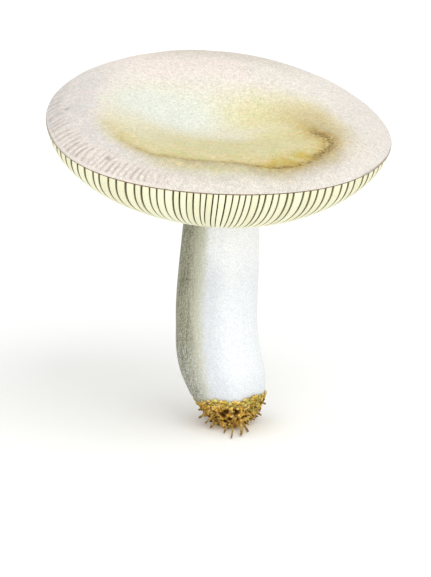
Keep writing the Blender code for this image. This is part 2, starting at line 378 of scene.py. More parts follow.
class Finish:
    """A Principled material, with short methods that add nodes and return their outputs."""

    def __init__(self, name: str, roughness: float, specular: float) -> None:
        """Start a material.

        Args:
            name: the material's name.
            roughness: how matt it is where nothing else sets that.
            specular: how strong its gloss is.
        """
        self.name = name
        self.made = bpy.data.materials.new(name)
        self.made.use_nodes = True
        self.tree = self.made.node_tree
        self.shader = self.tree.nodes["Principled BSDF"]
        self.shader.inputs["Roughness"].default_value = roughness
        self.shader.inputs["Specular IOR Level"].default_value = specular

    def material(self) -> bpy.types.Material:
        """Return the finished material."""
        return self.made

    def add(self, kind: str) -> bpy.types.Node:
        """Add a node of a kind."""
        return self.tree.nodes.new(kind)

    def link(self, source: Socket, target: Socket) -> None:
        """Lead an output into an input."""
        self.tree.links.new(source, target)

    def feed(self, socket: Socket, value: object) -> None:
        """Lead an output into a socket, or set the socket to a number or a colour."""
        if isinstance(value, Socket):
            self.link(value, socket)
        else:
            socket.default_value = value

    def attribute(self, name: str) -> Socket:
        """Read a number that the mesh keeps with its points."""
        node = self.add("ShaderNodeAttribute")
        node.attribute_name = name
        return node.outputs["Fac"]

    def sums(self, operation: str, first: object, second: object = 0.0) -> Socket:
        """Work out one sum of two numbers or outputs."""
        node = self.add("ShaderNodeMath")
        node.operation = operation
        self.feed(node.inputs[0], first)
        self.feed(node.inputs[1], second)
        return node.outputs[0]

    def times(self, first: object, second: object) -> Socket:
        """Multiply two numbers or outputs."""
        return self.sums("MULTIPLY", first, second)

    def stretch(self, value: object, start: float, end: float) -> Socket:
        """Ease a number from 0 at the start to 1 at the end."""
        node = self.add("ShaderNodeMapRange")
        node.interpolation_type = "SMOOTHSTEP"
        self.feed(node.inputs["Value"], value)
        node.inputs["From Min"].default_value = start
        node.inputs["From Max"].default_value = end
        return node.outputs["Result"]

    def grain(self, size: float, detail: float = 2.0, tall: float = 1.0) -> Socket:
        """Noise fixed to the object.

        Args:
            size: how large a grain is, in metres.
            detail: how many finer layers it has.
            tall: how many times taller than wide a grain is.

        Returns:
            A number round 0.5.
        """
        place = self.add("ShaderNodeTexCoord")
        mapping = self.add("ShaderNodeMapping")
        mapping.inputs["Scale"].default_value = (1.0, 1.0, 1.0 / tall)
        self.link(place.outputs["Object"], mapping.inputs["Vector"])
        noise = self.add("ShaderNodeTexNoise")
        noise.inputs["Scale"].default_value = 1.0 / size
        noise.inputs["Detail"].default_value = detail
        self.link(mapping.outputs["Vector"], noise.inputs["Vector"])
        return noise.outputs["Fac"]

    def flecks(self, size: float, detail: float, start: float, end: float, strength: object) -> Socket:
        """Soft-edged flecks: a grain, stretched between two of its levels.

        Args:
            size: how large a grain is, in metres.
            detail: how many finer layers it has.
            start: the level where a fleck starts.
            end: the level where it is whole.
            strength: a number or an output that it is multiplied by.

        Returns:
            A number that is 0 between the flecks.
        """
        return self.times(self.stretch(self.grain(size, detail), start, end), strength)

    def blend(self, low: object, high: object, share: object) -> Socket:
        """Blend two colours, each a screen colour from 0 to 255 or an output.

        Args:
            low: the colour at share 0.
            high: the colour at share 1.
            share: a number or an output.

        Returns:
            The blended colour.
        """
        node = self.add("ShaderNodeMix")
        node.data_type = "RGBA"
        self.feed(node.inputs[0], share)
        for socket, colour in ((node.inputs[6], low), (node.inputs[7], high)):
            self.feed(socket, linear(colour) if isinstance(colour, tuple) else colour)
        return node.outputs[2]

    def lay(self, colour: Socket, colours: object, zones: tuple[str, ...], patchiness: object = 1.0) -> Socket:
        """Lay colours over a colour, one after the other.

        Args:
            colour: the colour under them.
            colours: the colours, each under its zone's name.
            zones: the zones' names, which are also those of the mesh's numbers.
            patchiness: a number or an output that every zone is multiplied by.

        Returns:
            The covered colour.
        """
        for zone in zones:
            cover = self.times(self.attribute(zone), patchiness)
            colour = self.blend(colour, getattr(colours, zone), cover)
        return colour

    def speckle(self, colour: object, size: float, strength: float, detail: float = 2.0) -> Socket:
        """Lighten and darken a colour with a fine even grain.

        Args:
            colour: the colour that it varies.
            size: how large a grain is, in metres.
            strength: the largest change, as a share of the colour.
            detail: how many finer layers the grain has.

        Returns:
            The varied colour.
        """
        swing = self.sums("SUBTRACT", self.grain(size, detail), 0.5)
        shade = self.sums("MULTIPLY_ADD", swing, 2 * strength)
        shade.node.inputs[2].default_value = 1.0
        node = self.add("ShaderNodeVectorMath")
        node.operation = "SCALE"
        self.feed(node.inputs[0], colour)
        self.link(shade, node.inputs["Scale"])
        return node.outputs[0]

    def paint(self, colour: Socket) -> None:
        """Lead a colour into the shader."""
        self.link(colour, self.shader.inputs["Base Color"])

    def raise_by(self, heights: list[tuple[object, float]]) -> None:
        """Lead bumps into the shader, one on top of the other.

        Args:
            heights: pairs of an output and how far it raises the surface, in metres.
        """
        normal = None
        for height, distance in heights:
            node = self.add("ShaderNodeBump")
            node.inputs["Distance"].default_value = distance
            self.link(height, node.inputs["Height"])
            if normal is not None:
                self.link(normal, node.inputs["Normal"])
            normal = node.outputs["Normal"]
        self.link(normal, self.shader.inputs["Normal"])

    def soften(self, weight: float, depth: float) -> None:
        """Let light a little way into the flesh, a bit further for red."""
        self.shader.inputs["Subsurface Weight"].default_value = weight
        self.shader.inputs["Subsurface Radius"].default_value = (1.0, 0.85, 0.6)
        self.shader.inputs["Subsurface Scale"].default_value = depth


@dataclass(frozen=True)
class SkinColours:
    """Screen colours of the cap's skin, from the ring to the middle."""

    ring: Place = (222, 216, 206)
    # Painted shade on the ring in front and close outside the fold's hook; a darker grey behind.
    dusk_shade: Place = (197, 191, 177)
    lilac: Place = (203, 198, 194)
    pink: Place = (229, 213, 203)
    dish: Place = (217, 212, 188)
    pale: Place = (217, 220, 208)
    lemon: Place = (218, 209, 150)
    straw: Place = (204, 196, 147)
    tan: Place = (205, 190, 145)
    # Painted shade outside the upper arm of the fold's hook.
    dim_shade: Place = (182, 168, 130)
    # Painted shade on the ring along the fold's front.
    smoke_shade: Place = (170, 161, 143)
    ochre: Place = (193, 171, 88)
    # Painted shade beside the fold, with a rust spot and a brown streak.
    brown: Place = (156, 122, 72)
    # Painted shade in the fold, with the same brown streak.
    crease: Place = (110, 90, 50)
    green: Place = (194, 202, 142)
    peach: Place = (222, 198, 154)
    stripe: Place = (168, 155, 147)
    rim: Place = (112, 84, 58)


class CapFinish(Finish):
    """Dry, finely grained skin with the zones that the mesh keeps with its points."""

    def __init__(self, colours: SkinColours) -> None:
        """Build the skin's nodes.

        The ring's flecks come first, then the zones from the ring inwards, among them painted
        shade, the flecks on the dish's yellow, the fold's brown and dark crease, which are mostly
        painted shade made patchy by grain, and last three sizes of fine grain.

        Args:
            colours: the skin's colours.
        """
        super().__init__("cap_skin", roughness=0.62, specular=0.3)
        colour = self.blend(colours.ring, colours.lilac, self.attribute("lilac"))
        colour = self.blend(colour, colours.lilac, self.flecks(2.1 * MM, 3.0, 0.52, 0.66, 0.35))
        colour = self.blend(colour, colours.pink, self.flecks(2.9 * MM, 4.0, 0.54, 0.68, 0.5))
        # Dusk is painted shade in front and beside the hook, and a darker grey behind.
        colour = self.lay(colour, colours, ("pink", "dusk_shade", "dish", "pale", "lemon"))
        # Dim and smoke are painted shade on the ring beside the fold.
        colour = self.lay(colour, colours, ("straw", "tan", "dim_shade", "smoke_shade", "ochre"))
        yellow = self.sums("MAXIMUM", self.attribute("straw"), self.attribute("lemon"))
        for tint, size in ((colours.green, 2.6 * MM), (colours.peach, 3.3 * MM)):
            flecks = self.flecks(size, 4.0, 0.50, 0.68, self.times(yellow, 0.7))
            colour = self.blend(colour, tint, flecks)
        # Grain that makes the fold's brown and crease patchy; they are mostly painted shade.
        patchiness = self.stretch(self.grain(1.0 * MM, 4.0), 0.22, 0.78)
        colour = self.lay(colour, colours, ("brown", "crease"), patchiness)
        colour = self.lay(colour, colours, ("stripe", "rim"))
        colour = self.speckle(colour, 5.0 * MM, 0.06, 4.0)
        colour = self.speckle(colour, 1.2 * MM, 0.22)
        colour = self.speckle(colour, 0.42 * MM, 0.42)
        self.paint(colour)
        self.raise_by([(self.grain(2.4 * MM, 3.0), 0.10 * MM), (self.grain(0.45 * MM), 0.03 * MM)])
        self.soften(0.12, 1.6 * MM)


@dataclass(frozen=True)
class GillColours:
    """Screen colours of a gill, from its edge into the gap beside it, the last two painted shade."""

    edge: Place = (244, 243, 212)
    low: Place = (226, 222, 180)
    gap: Place = (138, 134, 96)


class GillFinish(Finish):
    """Smooth pale yellow blades, with painted shade, dark olive, between them."""

    def __init__(self, colours: GillColours) -> None:
        """Build the gills' nodes from their colours."""
        super().__init__("gill_flesh", roughness=0.6, specular=0.3)
        # Tone: each blade's own tone at random, painted shade down its walls, and darker towards the
        # stem.
        colour = self.blend(colours.edge, colours.low, self.attribute("tone"))
        colour = self.speckle(colour, 2.2 * MM, 0.03)
        # Gap: painted shade between the blades.
        colour = self.blend(colour, colours.gap, self.attribute("gap"))
        self.paint(colour)
        self.raise_by([(self.grain(0.8 * MM), 0.03 * MM)])
        self.soften(0.05, 0.8 * MM)


@dataclass(frozen=True)
class StemColours:
    """Screen colours of the stem, from its white flesh to its olive stain, which is partly painted
    shade.
    """

    flesh: Place = (232, 235, 238)
    # Painted light near the top, where the cap shades the stem.
    pale: Place = (250, 251, 254)
    # Bluish painted shade beside the stain, and a bluish grey tint that grows towards the foot.
    cool_tint_and_shade: Place = (213, 217, 222)
    # Olive stain on the stem's left, partly painted shade of that side.
    stain_and_shade: Place = (160, 159, 138)
    stain_and_shade_edge: Place = (196, 196, 178)
    stain_and_shade_dark: Place = (98, 95, 72)


class StemFinish(Finish):
    """White flesh with fine fibres along it, with an olive stain and painted shade in streaks and flecks
    on its left.
    """

    def __init__(self, colours: StemColours) -> None:
        """The edge of the stain and painted shade is frayed by flecks and blots, and dark streaks
        and flecks fill it where it is deep.

        The stain's edge is frayed by flecks and blots, and dark streaks and flecks fill it
        where it is deep.

        Args:
            colours: the stem's colours.
        """
        super().__init__("stem_flesh", roughness=0.6, specular=0.3)
        flecks = self.grain(0.42 * MM, 2.0, tall=1.7)
        depth = self.attribute("stain_and_shade_depth")
        streaks = self.stretch(self.grain(1.3 * MM, 4.0, tall=18.0), 0.46, 0.66)
        dark = self.sums("ADD", self.times(streaks, 0.65), self.stretch(flecks, 0.43, 0.60))
        stain_and_shade = self.blend(colours.stain_and_shade_edge, colours.stain_and_shade, depth)
        stain_and_shade = self.blend(stain_and_shade, colours.stain_and_shade_dark, self.times(dark, self.times(depth, 0.72)))
        # Painted light brightens the flesh near the top.
        flesh = self.blend(colours.flesh, colours.pale, self.attribute("pale"))
        # Bluish painted shade beside the stain, and a bluish tint, more towards the foot.
        flesh = self.blend(flesh, colours.cool_tint_and_shade, self.attribute("cool_tint_and_shade"))
        blots = self.sums("SUBTRACT", self.grain(1.5 * MM, 3.0, tall=3.0), 0.5)
        ragged = self.sums("ADD", self.attribute("stain_and_shade"), self.sums("SUBTRACT", flecks, 0.5))
        ragged = self.sums("ADD", ragged, self.times(blots, 0.6))
        colour = self.blend(flesh, stain_and_shade, self.stretch(ragged, 0.02, 0.98))
        colour = self.speckle(colour, 0.42 * MM, 0.30)
        colour = self.speckle(colour, 1.2 * MM, 0.07)
        self.paint(colour)
        fibres = self.grain(0.9 * MM, 3.0, tall=14.0)
        self.raise_by([(fibres, 0.10 * MM), (self.grain(0.5 * MM), 0.04 * MM)])
        self.soften(0.12, 1.6 * MM)


@dataclass(frozen=True)
class SoilColours:
    """Screen colours of the soil, its litter and its rootlets."""

    # Pale dry crumbs, and painted highlight on raised lumps, tuft tops and the clump's right side.
    glint: Place = (246, 220, 142)
    earth: Place = (220, 170, 64)
    # Painted shade in holes, hollows and under tufts, and the dark of damp flecks, crumbs and rootlet
    # tips.
    earth_dark: Place = (78, 46, 8)
    rootlet: Place = (184, 146, 70)
    rootlet_tip: Place = (92, 66, 22)
    litter: Place = (192, 182, 84)


class SoilFinish(Finish):
    """Matt, crumbly matter, lighter and darker by the numbers that the mesh keeps, partly painted
    highlight and shade.
    """

    def __init__(self, name: str, tints: SoilColours, plain: Place, dark: Place) -> None:
        """Build the nodes.

        Args:
            name: the material's name.
            tints: the colours of dry crumbs, also used as painted highlight, and of litter.
            plain: the main colour.
            dark: the colour of hollows, where it is painted shade, and of tips.
        """
        super().__init__(name, roughness=0.9, specular=0.15)
        dry = self.flecks(1.0 * MM, 3.0, 0.48, 0.64, 0.7)
        damp = self.flecks(1.3 * MM, 3.0, 0.53, 0.62, 0.6)
        colour = self.blend(plain, tints.litter, self.attribute("litter"))
        # Pale dry flecks, and painted highlight where the mesh's numbers say.
        colour = self.blend(colour, tints.glint, self.sums("MAXIMUM", dry, self.attribute("glint")))
        # Dark damp flecks, and the mesh's shade: painted shade in holes, hollows and under tufts, and
        # dark crumbs and tips.
        colour = self.blend(colour, dark, self.sums("MAXIMUM", damp, self.attribute("shade")))
        colour = self.speckle(colour, 0.5 * MM, 0.35)
        self.paint(colour)
        self.raise_by([(self.grain(0.8 * MM, 3.0), 0.25 * MM)])


# Cap


@dataclass(frozen=True)
class CapForm:
    """Sizes of the cap, which are those of the solid under this dressing.

    A point of the cap is given by its share of the waved radius, its angle from +X and its
    height above the margin. It is then leaned to the front and the right, and moved.
    """

    centre: Place = (-4.1 * MM, -2.0 * MM, 106.7 * MM)
    lean_front: float = math.radians(11.0)
    lean_right: float = math.radians(5.4)
    radius: float = 60.4 * MM
    outline_waves: Waves = ((2, 0.022, 51.0), (3, 0.018, 6.0), (4, 0.011, 322.0))
    lift_waves: Waves = ((2, 0.7 * MM, 94.0), (3, 0.35 * MM, 328.0), (4, 0.35 * MM, 354.0))
    ring_at: float = 0.71
    ring_height: float = 7.3 * MM
    ring_height_back: float = 1.9 * MM
    dish_depth: float = 1.8 * MM
    margin_fall: tuple[float, float] = (2.2, 0.62)
    gill_reach: float = 29.2 * MM
    gill_curve: float = 1.35
    gill_steepness: float = 0.583
    gill_end: float = 0.225
    stem_offset: float = 4.5 * MM

    def turn(self) -> Array:
        """The matrix of the cap's lean: to the front, then to the right."""
        return turn_about_y(self.lean_right) @ turn_about_x(self.lean_front)

    def flat(self, share: Array, angle: Array) -> tuple[Array, Array]:
        """Place to the right and to the back in the cap's own plane.

        The radius is its share of the cap's, made larger or smaller by the outline's
        waves, which fade towards the middle.

        Args:
            share: shares of the radius.
            angle: angles from +X.

        Returns:
            The two places.
        """
        radius = self.radius * share * (1.0 + share * wave_sum(self.outline_waves, angle))
        return radius * np.cos(angle), radius * np.sin(angle)

    def points(self, share: Array, angle: Array, height: Array, shift: Array | float = 0.0) -> Array:
        """Place points of the cap in the world.

        Args:
            share: shares of the waved radius.
            angle: angles from +X.
            height: heights above the margin, which the lift's waves are added to.
            shift: how far the points move to the right before the lean.

        Returns:
            Places, three numbers in the last axis.
        """
        right, back = self.flat(share, angle)
        lift = wave_sum(self.lift_waves, angle) * share**2
        own = np.stack(np.broadcast_arrays(right + shift, back, height + lift), axis=-1)
        return own @ self.turn().T + np.array(self.centre)

    def on_axis(self, height: float) -> Array:
        """The place in the cap's middle at a height above the margin."""
        return self.points(np.zeros(1), np.zeros(1), np.array([height]))[0]

    def skin_height(self, share: Array, angle: Array) -> Array:
        """Height of the upper face: eased up from the dish to the ring, then a round fall.

        The fall to the margin is a superellipse, (1 - fall^a)^b.

        Args:
            share: shares of the radius.
            angle: angles from +X.

        Returns:
            Heights above the margin.
        """
        ring = self.ring_height + self.ring_height_back * np.sin(angle)
        rise = smooth(share / self.ring_at)
        fall = np.clip((share - self.ring_at) / (1.0 - self.ring_at), 0.0, 1.0)
        margin = (1.0 - fall ** self.margin_fall[0]) ** self.margin_fall[1]
        return ring * np.where(share > self.ring_at, margin, rise) - self.dish_depth * (1.0 - rise)

    def gill_edge(self, turn: Array) -> tuple[Array, Array]:
        """The bowl of the gills' edges, from the margin at turn 0 to the stem at a right angle.

        The share along the bowl is a power of the turn's cosine, which spreads the points
        evenly over a bowl of height (1 - along^a)^b.

        Args:
            turn: angles from 0 to a right angle.

        Returns:
            Shares of the radius, and heights above the margin.
        """
        along = np.clip(np.cos(turn), 0.0, 1.0) ** (2.0 / self.gill_curve)
        height = -self.gill_reach * (1.0 - along**self.gill_curve) ** self.gill_steepness
        return self.gill_end + (1.0 - self.gill_end) * along, height


@dataclass(frozen=True)
class Crease:
    """The fold that runs along the dish's near side and hooks back at its right end.

    Its course is a smooth curve through points in the cap's own plane: to the right, to the
    back (in millimetres), how deep the fold is there, and how strongly ochre lies along it.
    """

    course: tuple[tuple[float, float, float, float], ...] = (
        (-39.8, -10.0, 0.0, 0.0),
        (-38.0, -18.5, 0.0, 0.3),
        (-34.4, -28.0, 0.12, 0.5),
        (-30.0, -35.0, 0.2, 0.7),
        (-23.0, -41.6, 0.35, 0.7),
        (-15.0, -43.6, 0.5, 0.65),
        (-8.0, -44.8, 0.6, 0.6),
        (0.0, -44.4, 0.75, 0.6),
        (8.0, -44.0, 0.75, 0.7),
        (14.5, -44.4, 0.85, 0.8),
        (20.0, -43.8, 0.95, 1.0),
        (25.5, -41.4, 1.0, 1.0),
        (29.8, -38.0, 0.9, 0.95),
        (33.7, -33.7, 0.75, 0.85),
        (36.9, -27.6, 0.8, 0.9),
        (38.8, -21.4, 1.0, 1.0),
        (37.2, -16.0, 1.0, 1.0),
        (34.2, -12.6, 1.0, 0.95),
        (32.4, -9.6, 0.75, 0.9),
        (30.6, -6.0, 0.25, 0.65),
        (28.5, -1.5, 0.0, 0.45),
        (23.0, 4.0, 0.0, 0.35),
        (15.0, 11.0, 0.0, 0.15),
    )
    steps: int = 10

    def curve(self) -> Array:
        """Read the course finely from a Catmull-Rom curve, a cubic between two of its points.

        Returns:
            Rows like the course's own, a number of steps for each of its spans.
        """
        table = np.array(self.course)
        padded = np.concatenate([2 * table[:1] - table[1:2], table, 2 * table[-1:] - table[-2:-1]])
        before, start = padded[:-3, None], padded[1:-2, None]
        end, after = padded[2:-1, None], padded[3:, None]
        t = (np.arange(self.steps) / self.steps)[None, :, None]
        cubic = (
            2 * start
            + (end - before) * t
            + (2 * before - 5 * start + 4 * end - after) * t**2
            + (3 * start - before - 3 * end + after) * t**3
        )
        return np.concatenate([cubic.reshape(-1, 4) / 2, table[-1:]])

    def reach(self, right: Array, back: Array) -> tuple[Array, Array, Array]:
        """Find how far points lie from the fold, and how strong it is nearest to them.

        Args:
            right: places to the right in the cap's plane, in metres.
            back: places to the back, in metres.

        Returns:
            Distances in metres, positive on the dish's side, then the fold's and the
            ochre's strengths from 0 to 1.
        """
        curve = self.curve()
        course = curve[:, :2] * MM
        ahead = np.gradient(course, axis=0)
        ahead = ahead / np.linalg.norm(ahead, axis=1, keepdims=True)
        away = np.stack([right, back], axis=-1)[..., None, :] - course
        gap = np.linalg.norm(away, axis=-1)
        nearest = np.argmin(gap, axis=-1)
        pick = nearest[..., None]
        across = ahead[:, 0] * away[..., 1] - ahead[:, 1] * away[..., 0]
        side = np.sign(np.take_along_axis(across, pick, -1)[..., 0])
        distance = np.take_along_axis(gap, pick, -1)[..., 0]
        return side * distance, curve[nearest, 2], curve[nearest, 3]


@dataclass(frozen=True)
class SkinPoints:
    """Points of the cap's skin in its own plane, with their noises and the nearest fold.

    The distance to the fold is positive on the dish's side. How deep the fold is there and
    how strongly ochre lies along it, the tint, go from 0 to 1.
    """

    share: Array
    angle: Array
    right: Array
    back: Array
    broad: Array
    fine: Array
    distance: Array
    fold: Array
    tint: Array

    @property
    def degrees(self) -> Array:
        """Angles from +X in degrees, from 0 to 360."""
        return np.degrees(self.angle) % 360.0

    @property
    def waver(self) -> Array:
        """Noise that moves the edges of patches in and out."""
        return 0.10 * self.broad + 0.05 * self.fine

    @property
    def inside(self) -> Array:
        """Distances to the fold on the dish's side, and 0 outside it."""
        return np.clip(self.distance, 0.0, None)

    @property
    def outside(self) -> Array:
        """Distances to the fold on the ring's side, and 0 inside it."""
        return np.clip(-self.distance, 0.0, None)


@dataclass(frozen=True)
class Patch:
    """An oval patch of colour in the cap's own plane, with a soft waved edge.

    Its middle and its half lengths are in millimetres, its lean is in degrees, and its edge
    is a share of its size.
    """

    right: float
    back: float
    long: float
    short: float
    lean: float = 0.0
    edge: float = 0.5

    def cover(self, skin: SkinPoints, sway: float = 2.0) -> Array:
        """How much of the patch covers each point.

        Args:
            skin: the points.
            sway: how strongly noise moves the patch's edge.

        Returns:
            Numbers from 0 outside to 1 inside.
        """
        lean = math.radians(self.lean)
        x = skin.right - self.right * MM
        y = skin.back - self.back * MM
        along = (x * math.cos(lean) + y * math.sin(lean)) / (self.long * MM)
        across = (y * math.cos(lean) - x * math.sin(lean)) / (self.short * MM)
        return between(np.hypot(along, across) + sway * skin.waver, 1.0 + self.edge, 1.0 - self.edge)


@dataclass
class Cap:
    """The cap's skin and flesh: a closed surface from the dish's middle, over the ring and
    the margin, to the flesh that the gills hang from.

    The skin's rings are given as a first and a last share of the radius, their number and
    their points. The lid closes the surface from below, as shares and points.
    """

    form: CapForm
    crease: Crease = Crease()
    strand: Crease = Crease(
        course=(
            (37.6, -22.5, 0.2, 0.0),
            (36.2, -25.6, 0.8, 0.0),
            (34.6, -28.6, 1.0, 0.0),
            (32.6, -31.6, 0.7, 0.0),
            (30.0, -34.2, 0.1, 0.0),
        )
    )
    dish: Patch = Patch(1.0, -11.5, 40.5, 41.0, 0.0, 0.12)
    pale: Patch = Patch(-18.0, 7.0, 23.0, 13.5, 18.0)
    lemon: Patch = Patch(16.0, 9.0, 15.0, 11.0, -30.0, 0.7)
    lemon_inner: Patch = Patch(24.0, -14.0, 15.0, 8.5, -50.0, 0.6)
    tan: Patch = Patch(32.0, 1.5, 15.0, 7.0, -50.0, 0.6)
    golden: Patch = Patch(27.5, -35.5, 15.0, 6.5, 32.0)
    rust: Patch = Patch(38.3, -19.0, 6.0, 2.8, -75.0)
    bare: Patch = Patch(28.0, -22.0, 6.0, 3.5, 10.0)
    halo: Patch = Patch(3.0, -48.6, 18.0, 3.0, 2.0, 0.7)
    straw: Patch = Patch(3.0, -29.5, 40.0, 18.5, 7.0)
    stripe_counts: tuple[float, float] = (54.0, 206.0)
    stripe_sector: tuple[float, float] = (163.0, 264.0)
    stripe_reach: tuple[float, float] = (0.872, 0.992)
    stripe_depth: float = 0.30 * MM
    furrow_depth: float = 0.6 * MM
    furrow_width: float = 0.9 * MM
    step_depth: float = 0.9 * MM
    bank_height: float = 0.35 * MM
    pits: tuple[tuple[float, float], ...] = ((-35.0 * MM, -45.7 * MM), (-51.4 * MM, -8.8 * MM))
    pit_radius: float = 0.75 * MM
    pit_depth: float = 0.35 * MM
    skin_rings: tuple[tuple[float, float, int, int], ...] = (
        (0.03, 0.16, 9, 80),
        (0.16, 0.34, 13, 160),
        (0.34, 0.54, 25, 320),
        (0.54, 0.87, 46, 640),
    )
    margin_rings: int = 31
    margin_points: int = 1280
    lip: float = 0.5 * MM
    lip_turns: tuple[float, ...] = (20.0, 55.0, 90.0, 130.0)
    lid: tuple[tuple[float, int], ...] = (
        (0.985, 640),
        (0.96, 320),
        (0.90, 160),
        (0.7, 80),
        (0.4, 80),
        (0.15, 80),
    )
    inside: float = 0.9993

    def top_rings(self) -> list[tuple[float, int]]:
        """Shares and point counts of the upper face's rings, finer towards the margin."""
        plan = []
        for start, end, rings, points in self.skin_rings:
            plan += [(share, points) for share in np.linspace(start, end, rings, endpoint=False)]
        left = 1.0 - np.linspace(0.0, 1.0, self.margin_rings)
        start = self.skin_rings[-1][1]
        return plan + [(start + (1.0 - start) * (1.0 - t**1.8), self.margin_points) for t in left]

    def survey(self, share: Array, angle: Array) -> SkinPoints:
        """Find where points of the skin lie in the cap's plane and beside the fold.

        Args:
            share: shares of the radius.
            angle: angles from +X.

        Returns:
            The points.
        """
        right, back = self.form.flat(share, angle)
        level = np.stack([right, back, np.zeros_like(right)], axis=-1)
        broad = layered_noise(level, 13.0 * MM, 3)
        fine = layered_noise(level, 4.0 * MM, 21)
        return SkinPoints(share, angle, right, back, broad, fine, *self.crease.reach(right, back))

    def stripes(self, skin: SkinPoints) -> Array:
        """Narrow furrows along the radius, near the margin's left and near-left side.

        A furrow is a bell of the distance to the nearest whole number of a phase, which
        grows with the angle, faster towards the front, and which noise bends a little.

        Args:
            skin: the points.

        Returns:
            How deep the furrow is, from 0 to 1.
        """
        level = np.stack([skin.right, skin.back, np.zeros_like(skin.right)], axis=-1)
        start, end = self.stripe_sector
        few, many = self.stripe_counts
        into = skin.degrees - start
        phase = into / 360.0 * (few + (many - few) / 2 * into / (end - start))
        phase = phase + 0.35 * soft_noise(level, 5.0 * MM, 40) + 1.6 * (skin.share - 1.0)
        nearest = np.round(phase)
        line = hill(np.abs(phase - nearest), 0.25)
        own = lattice_value(np.stack([nearest, 0 * nearest, 0 * nearest], axis=-1), 7)
        sector = between(skin.degrees, start, start + 9.0) * between(skin.degrees, end, end - 24.0)
        inner, outer = self.stripe_reach
        length = smooth((skin.share - (inner + 0.024 * own)) / 0.05)
        length = length * between(skin.share, outer + 0.004, outer - 0.012)
        faint = mix(0.5, 1.0, between(skin.degrees, 184.0, 208.0))
        return line * sector * length * faint * (0.72 + 0.28 * own)

    def relief(self, skin: SkinPoints, stripe: Array, pit: Array) -> Array:
        """How far the skin is raised or sunk.

        The fold is a furrow, with a step down beside it that fades into the dish and a low
        bank beside it on the ring. Low waves, the stripes and the pits come on top.

        Args:
            skin: the points.
            stripe: how deep the stripes are, from 0 to 1.
            pit: how deep the pits are, from 0 to 1.

        Returns:
            Heights to add to the skin, which end at 0 on the margin.
        """
        furrow = hill(skin.distance, self.furrow_width) * skin.fold
        step = smooth(skin.inside / (2.5 * MM)) * np.exp(-skin.inside / (9.0 * MM)) * skin.fold
        relief = 0.30 * MM * (skin.broad - 1.0) + 0.05 * MM * (skin.fine - 1.0)
        relief -= self.furrow_depth * furrow + self.step_depth * step
        relief += self.bank_height * hill(skin.distance + 2.6 * MM, 2.0 * MM) * skin.fold
        relief -= self.stripe_depth * stripe + self.pit_depth * pit
        return relief * between(skin.share, 1.0, 0.985)

    def clean(self, skin: SkinPoints) -> Array:
        """Where little yellow gets past the fold: in front of the hook at its right end."""
        in_front = between(skin.back, -18.0 * MM, -26.0 * MM)
        return 0.8 * between(skin.right, 26.0 * MM, 36.0 * MM) * in_front

    def ring_zones(self, skin: SkinPoints) -> dict[str, Array]:
        """Colours of the ring.

        Lilac lies on the left and faintly on the right, and pink at the back and the near left.
        Dusk is painted shade in front and close outside the hook, and a darker grey behind.

        Args:
            skin: the points.

        Returns:
            The zones' numbers by name.
        """
        share, degrees = skin.share, skin.degrees
        blush = by_side(degrees, 232.0, 44.0, 14.0) * between(share, 0.84, 0.93)
        lilac = by_side(degrees, 195.0, 75.0, 20.0) * (1.0 - 0.8 * blush)
        lilac = (lilac + 0.35 * by_side(degrees, 350.0, 60.0, 20.0)) * between(share, 0.62, 0.78)
        pink_back = by_side(degrees, 105.0, 50.0, 15.0) * between(share, 0.42, 0.60)
        front = by_side(degrees, 275.0, 40.0, 12.0) * between(share, 0.68, 0.76)
        behind = by_side(degrees, 88.0, 45.0, 15.0)
        # Dusk: painted shade in front and beside the hook, and a darker grey behind, along the crest.
        dusk_shade = front * mix(0.35, 0.85, between(share, 0.97, 0.86))
        dusk_shade += 0.5 * behind * between(share, 0.64, 0.76) * between(share, 0.99, 0.86)
        dusk_shade += 0.15 * behind * between(share, 0.45, 0.6)
        beside_hook = hill(skin.outside, 5.0 * MM) * between(skin.outside, 0.0, 1.0 * MM)
        dusk_shade += 0.6 * self.clean(skin) * beside_hook
        at_sides = between(np.abs(np.cos(skin.angle)), 0.75, 0.98)
        return {
            "lilac": lilac * (0.8 + 0.2 * skin.fine),
            "pink": held(0.5 * pink_back + 0.3 * blush + 0.15 * skin.fine),
            "dusk_shade": held(dusk_shade * (1.0 + 0.3 * skin.fine)),
            "rim": 0.7 * between(share, 0.9955, 0.9995) * at_sides,
        }

    def dish_zones(self, skin: SkinPoints) -> dict[str, Array]:
        """Colours of the dish: its pale left, lemon right and straw front.

        Args:
            skin: the points.

        Returns:
            The zones' numbers by name.
        """
        dish = self.dish.cover(skin, 0.5) * (1.0 - 0.8 * between(skin.back, 6.0 * MM, 30.0 * MM))
        straw = self.straw.cover(skin, 2.6) * dish * (0.95 + 0.35 * skin.fine)
        straw = straw * (1.0 - 0.4 * self.bare.cover(skin))
        straw = straw * (1.0 - 0.3 * between(skin.right, 2.0 * MM, -26.0 * MM))
        halo = self.halo.cover(skin, 1.6) * (1.0 + 0.4 * skin.fine)
        return {
            "dish": dish,
            "pale": self.pale.cover(skin) * dish,
            "lemon": np.maximum(0.55 * self.lemon.cover(skin), 0.75 * self.lemon_inner.cover(skin)),
            "straw": held(straw + 0.6 * halo),
        }

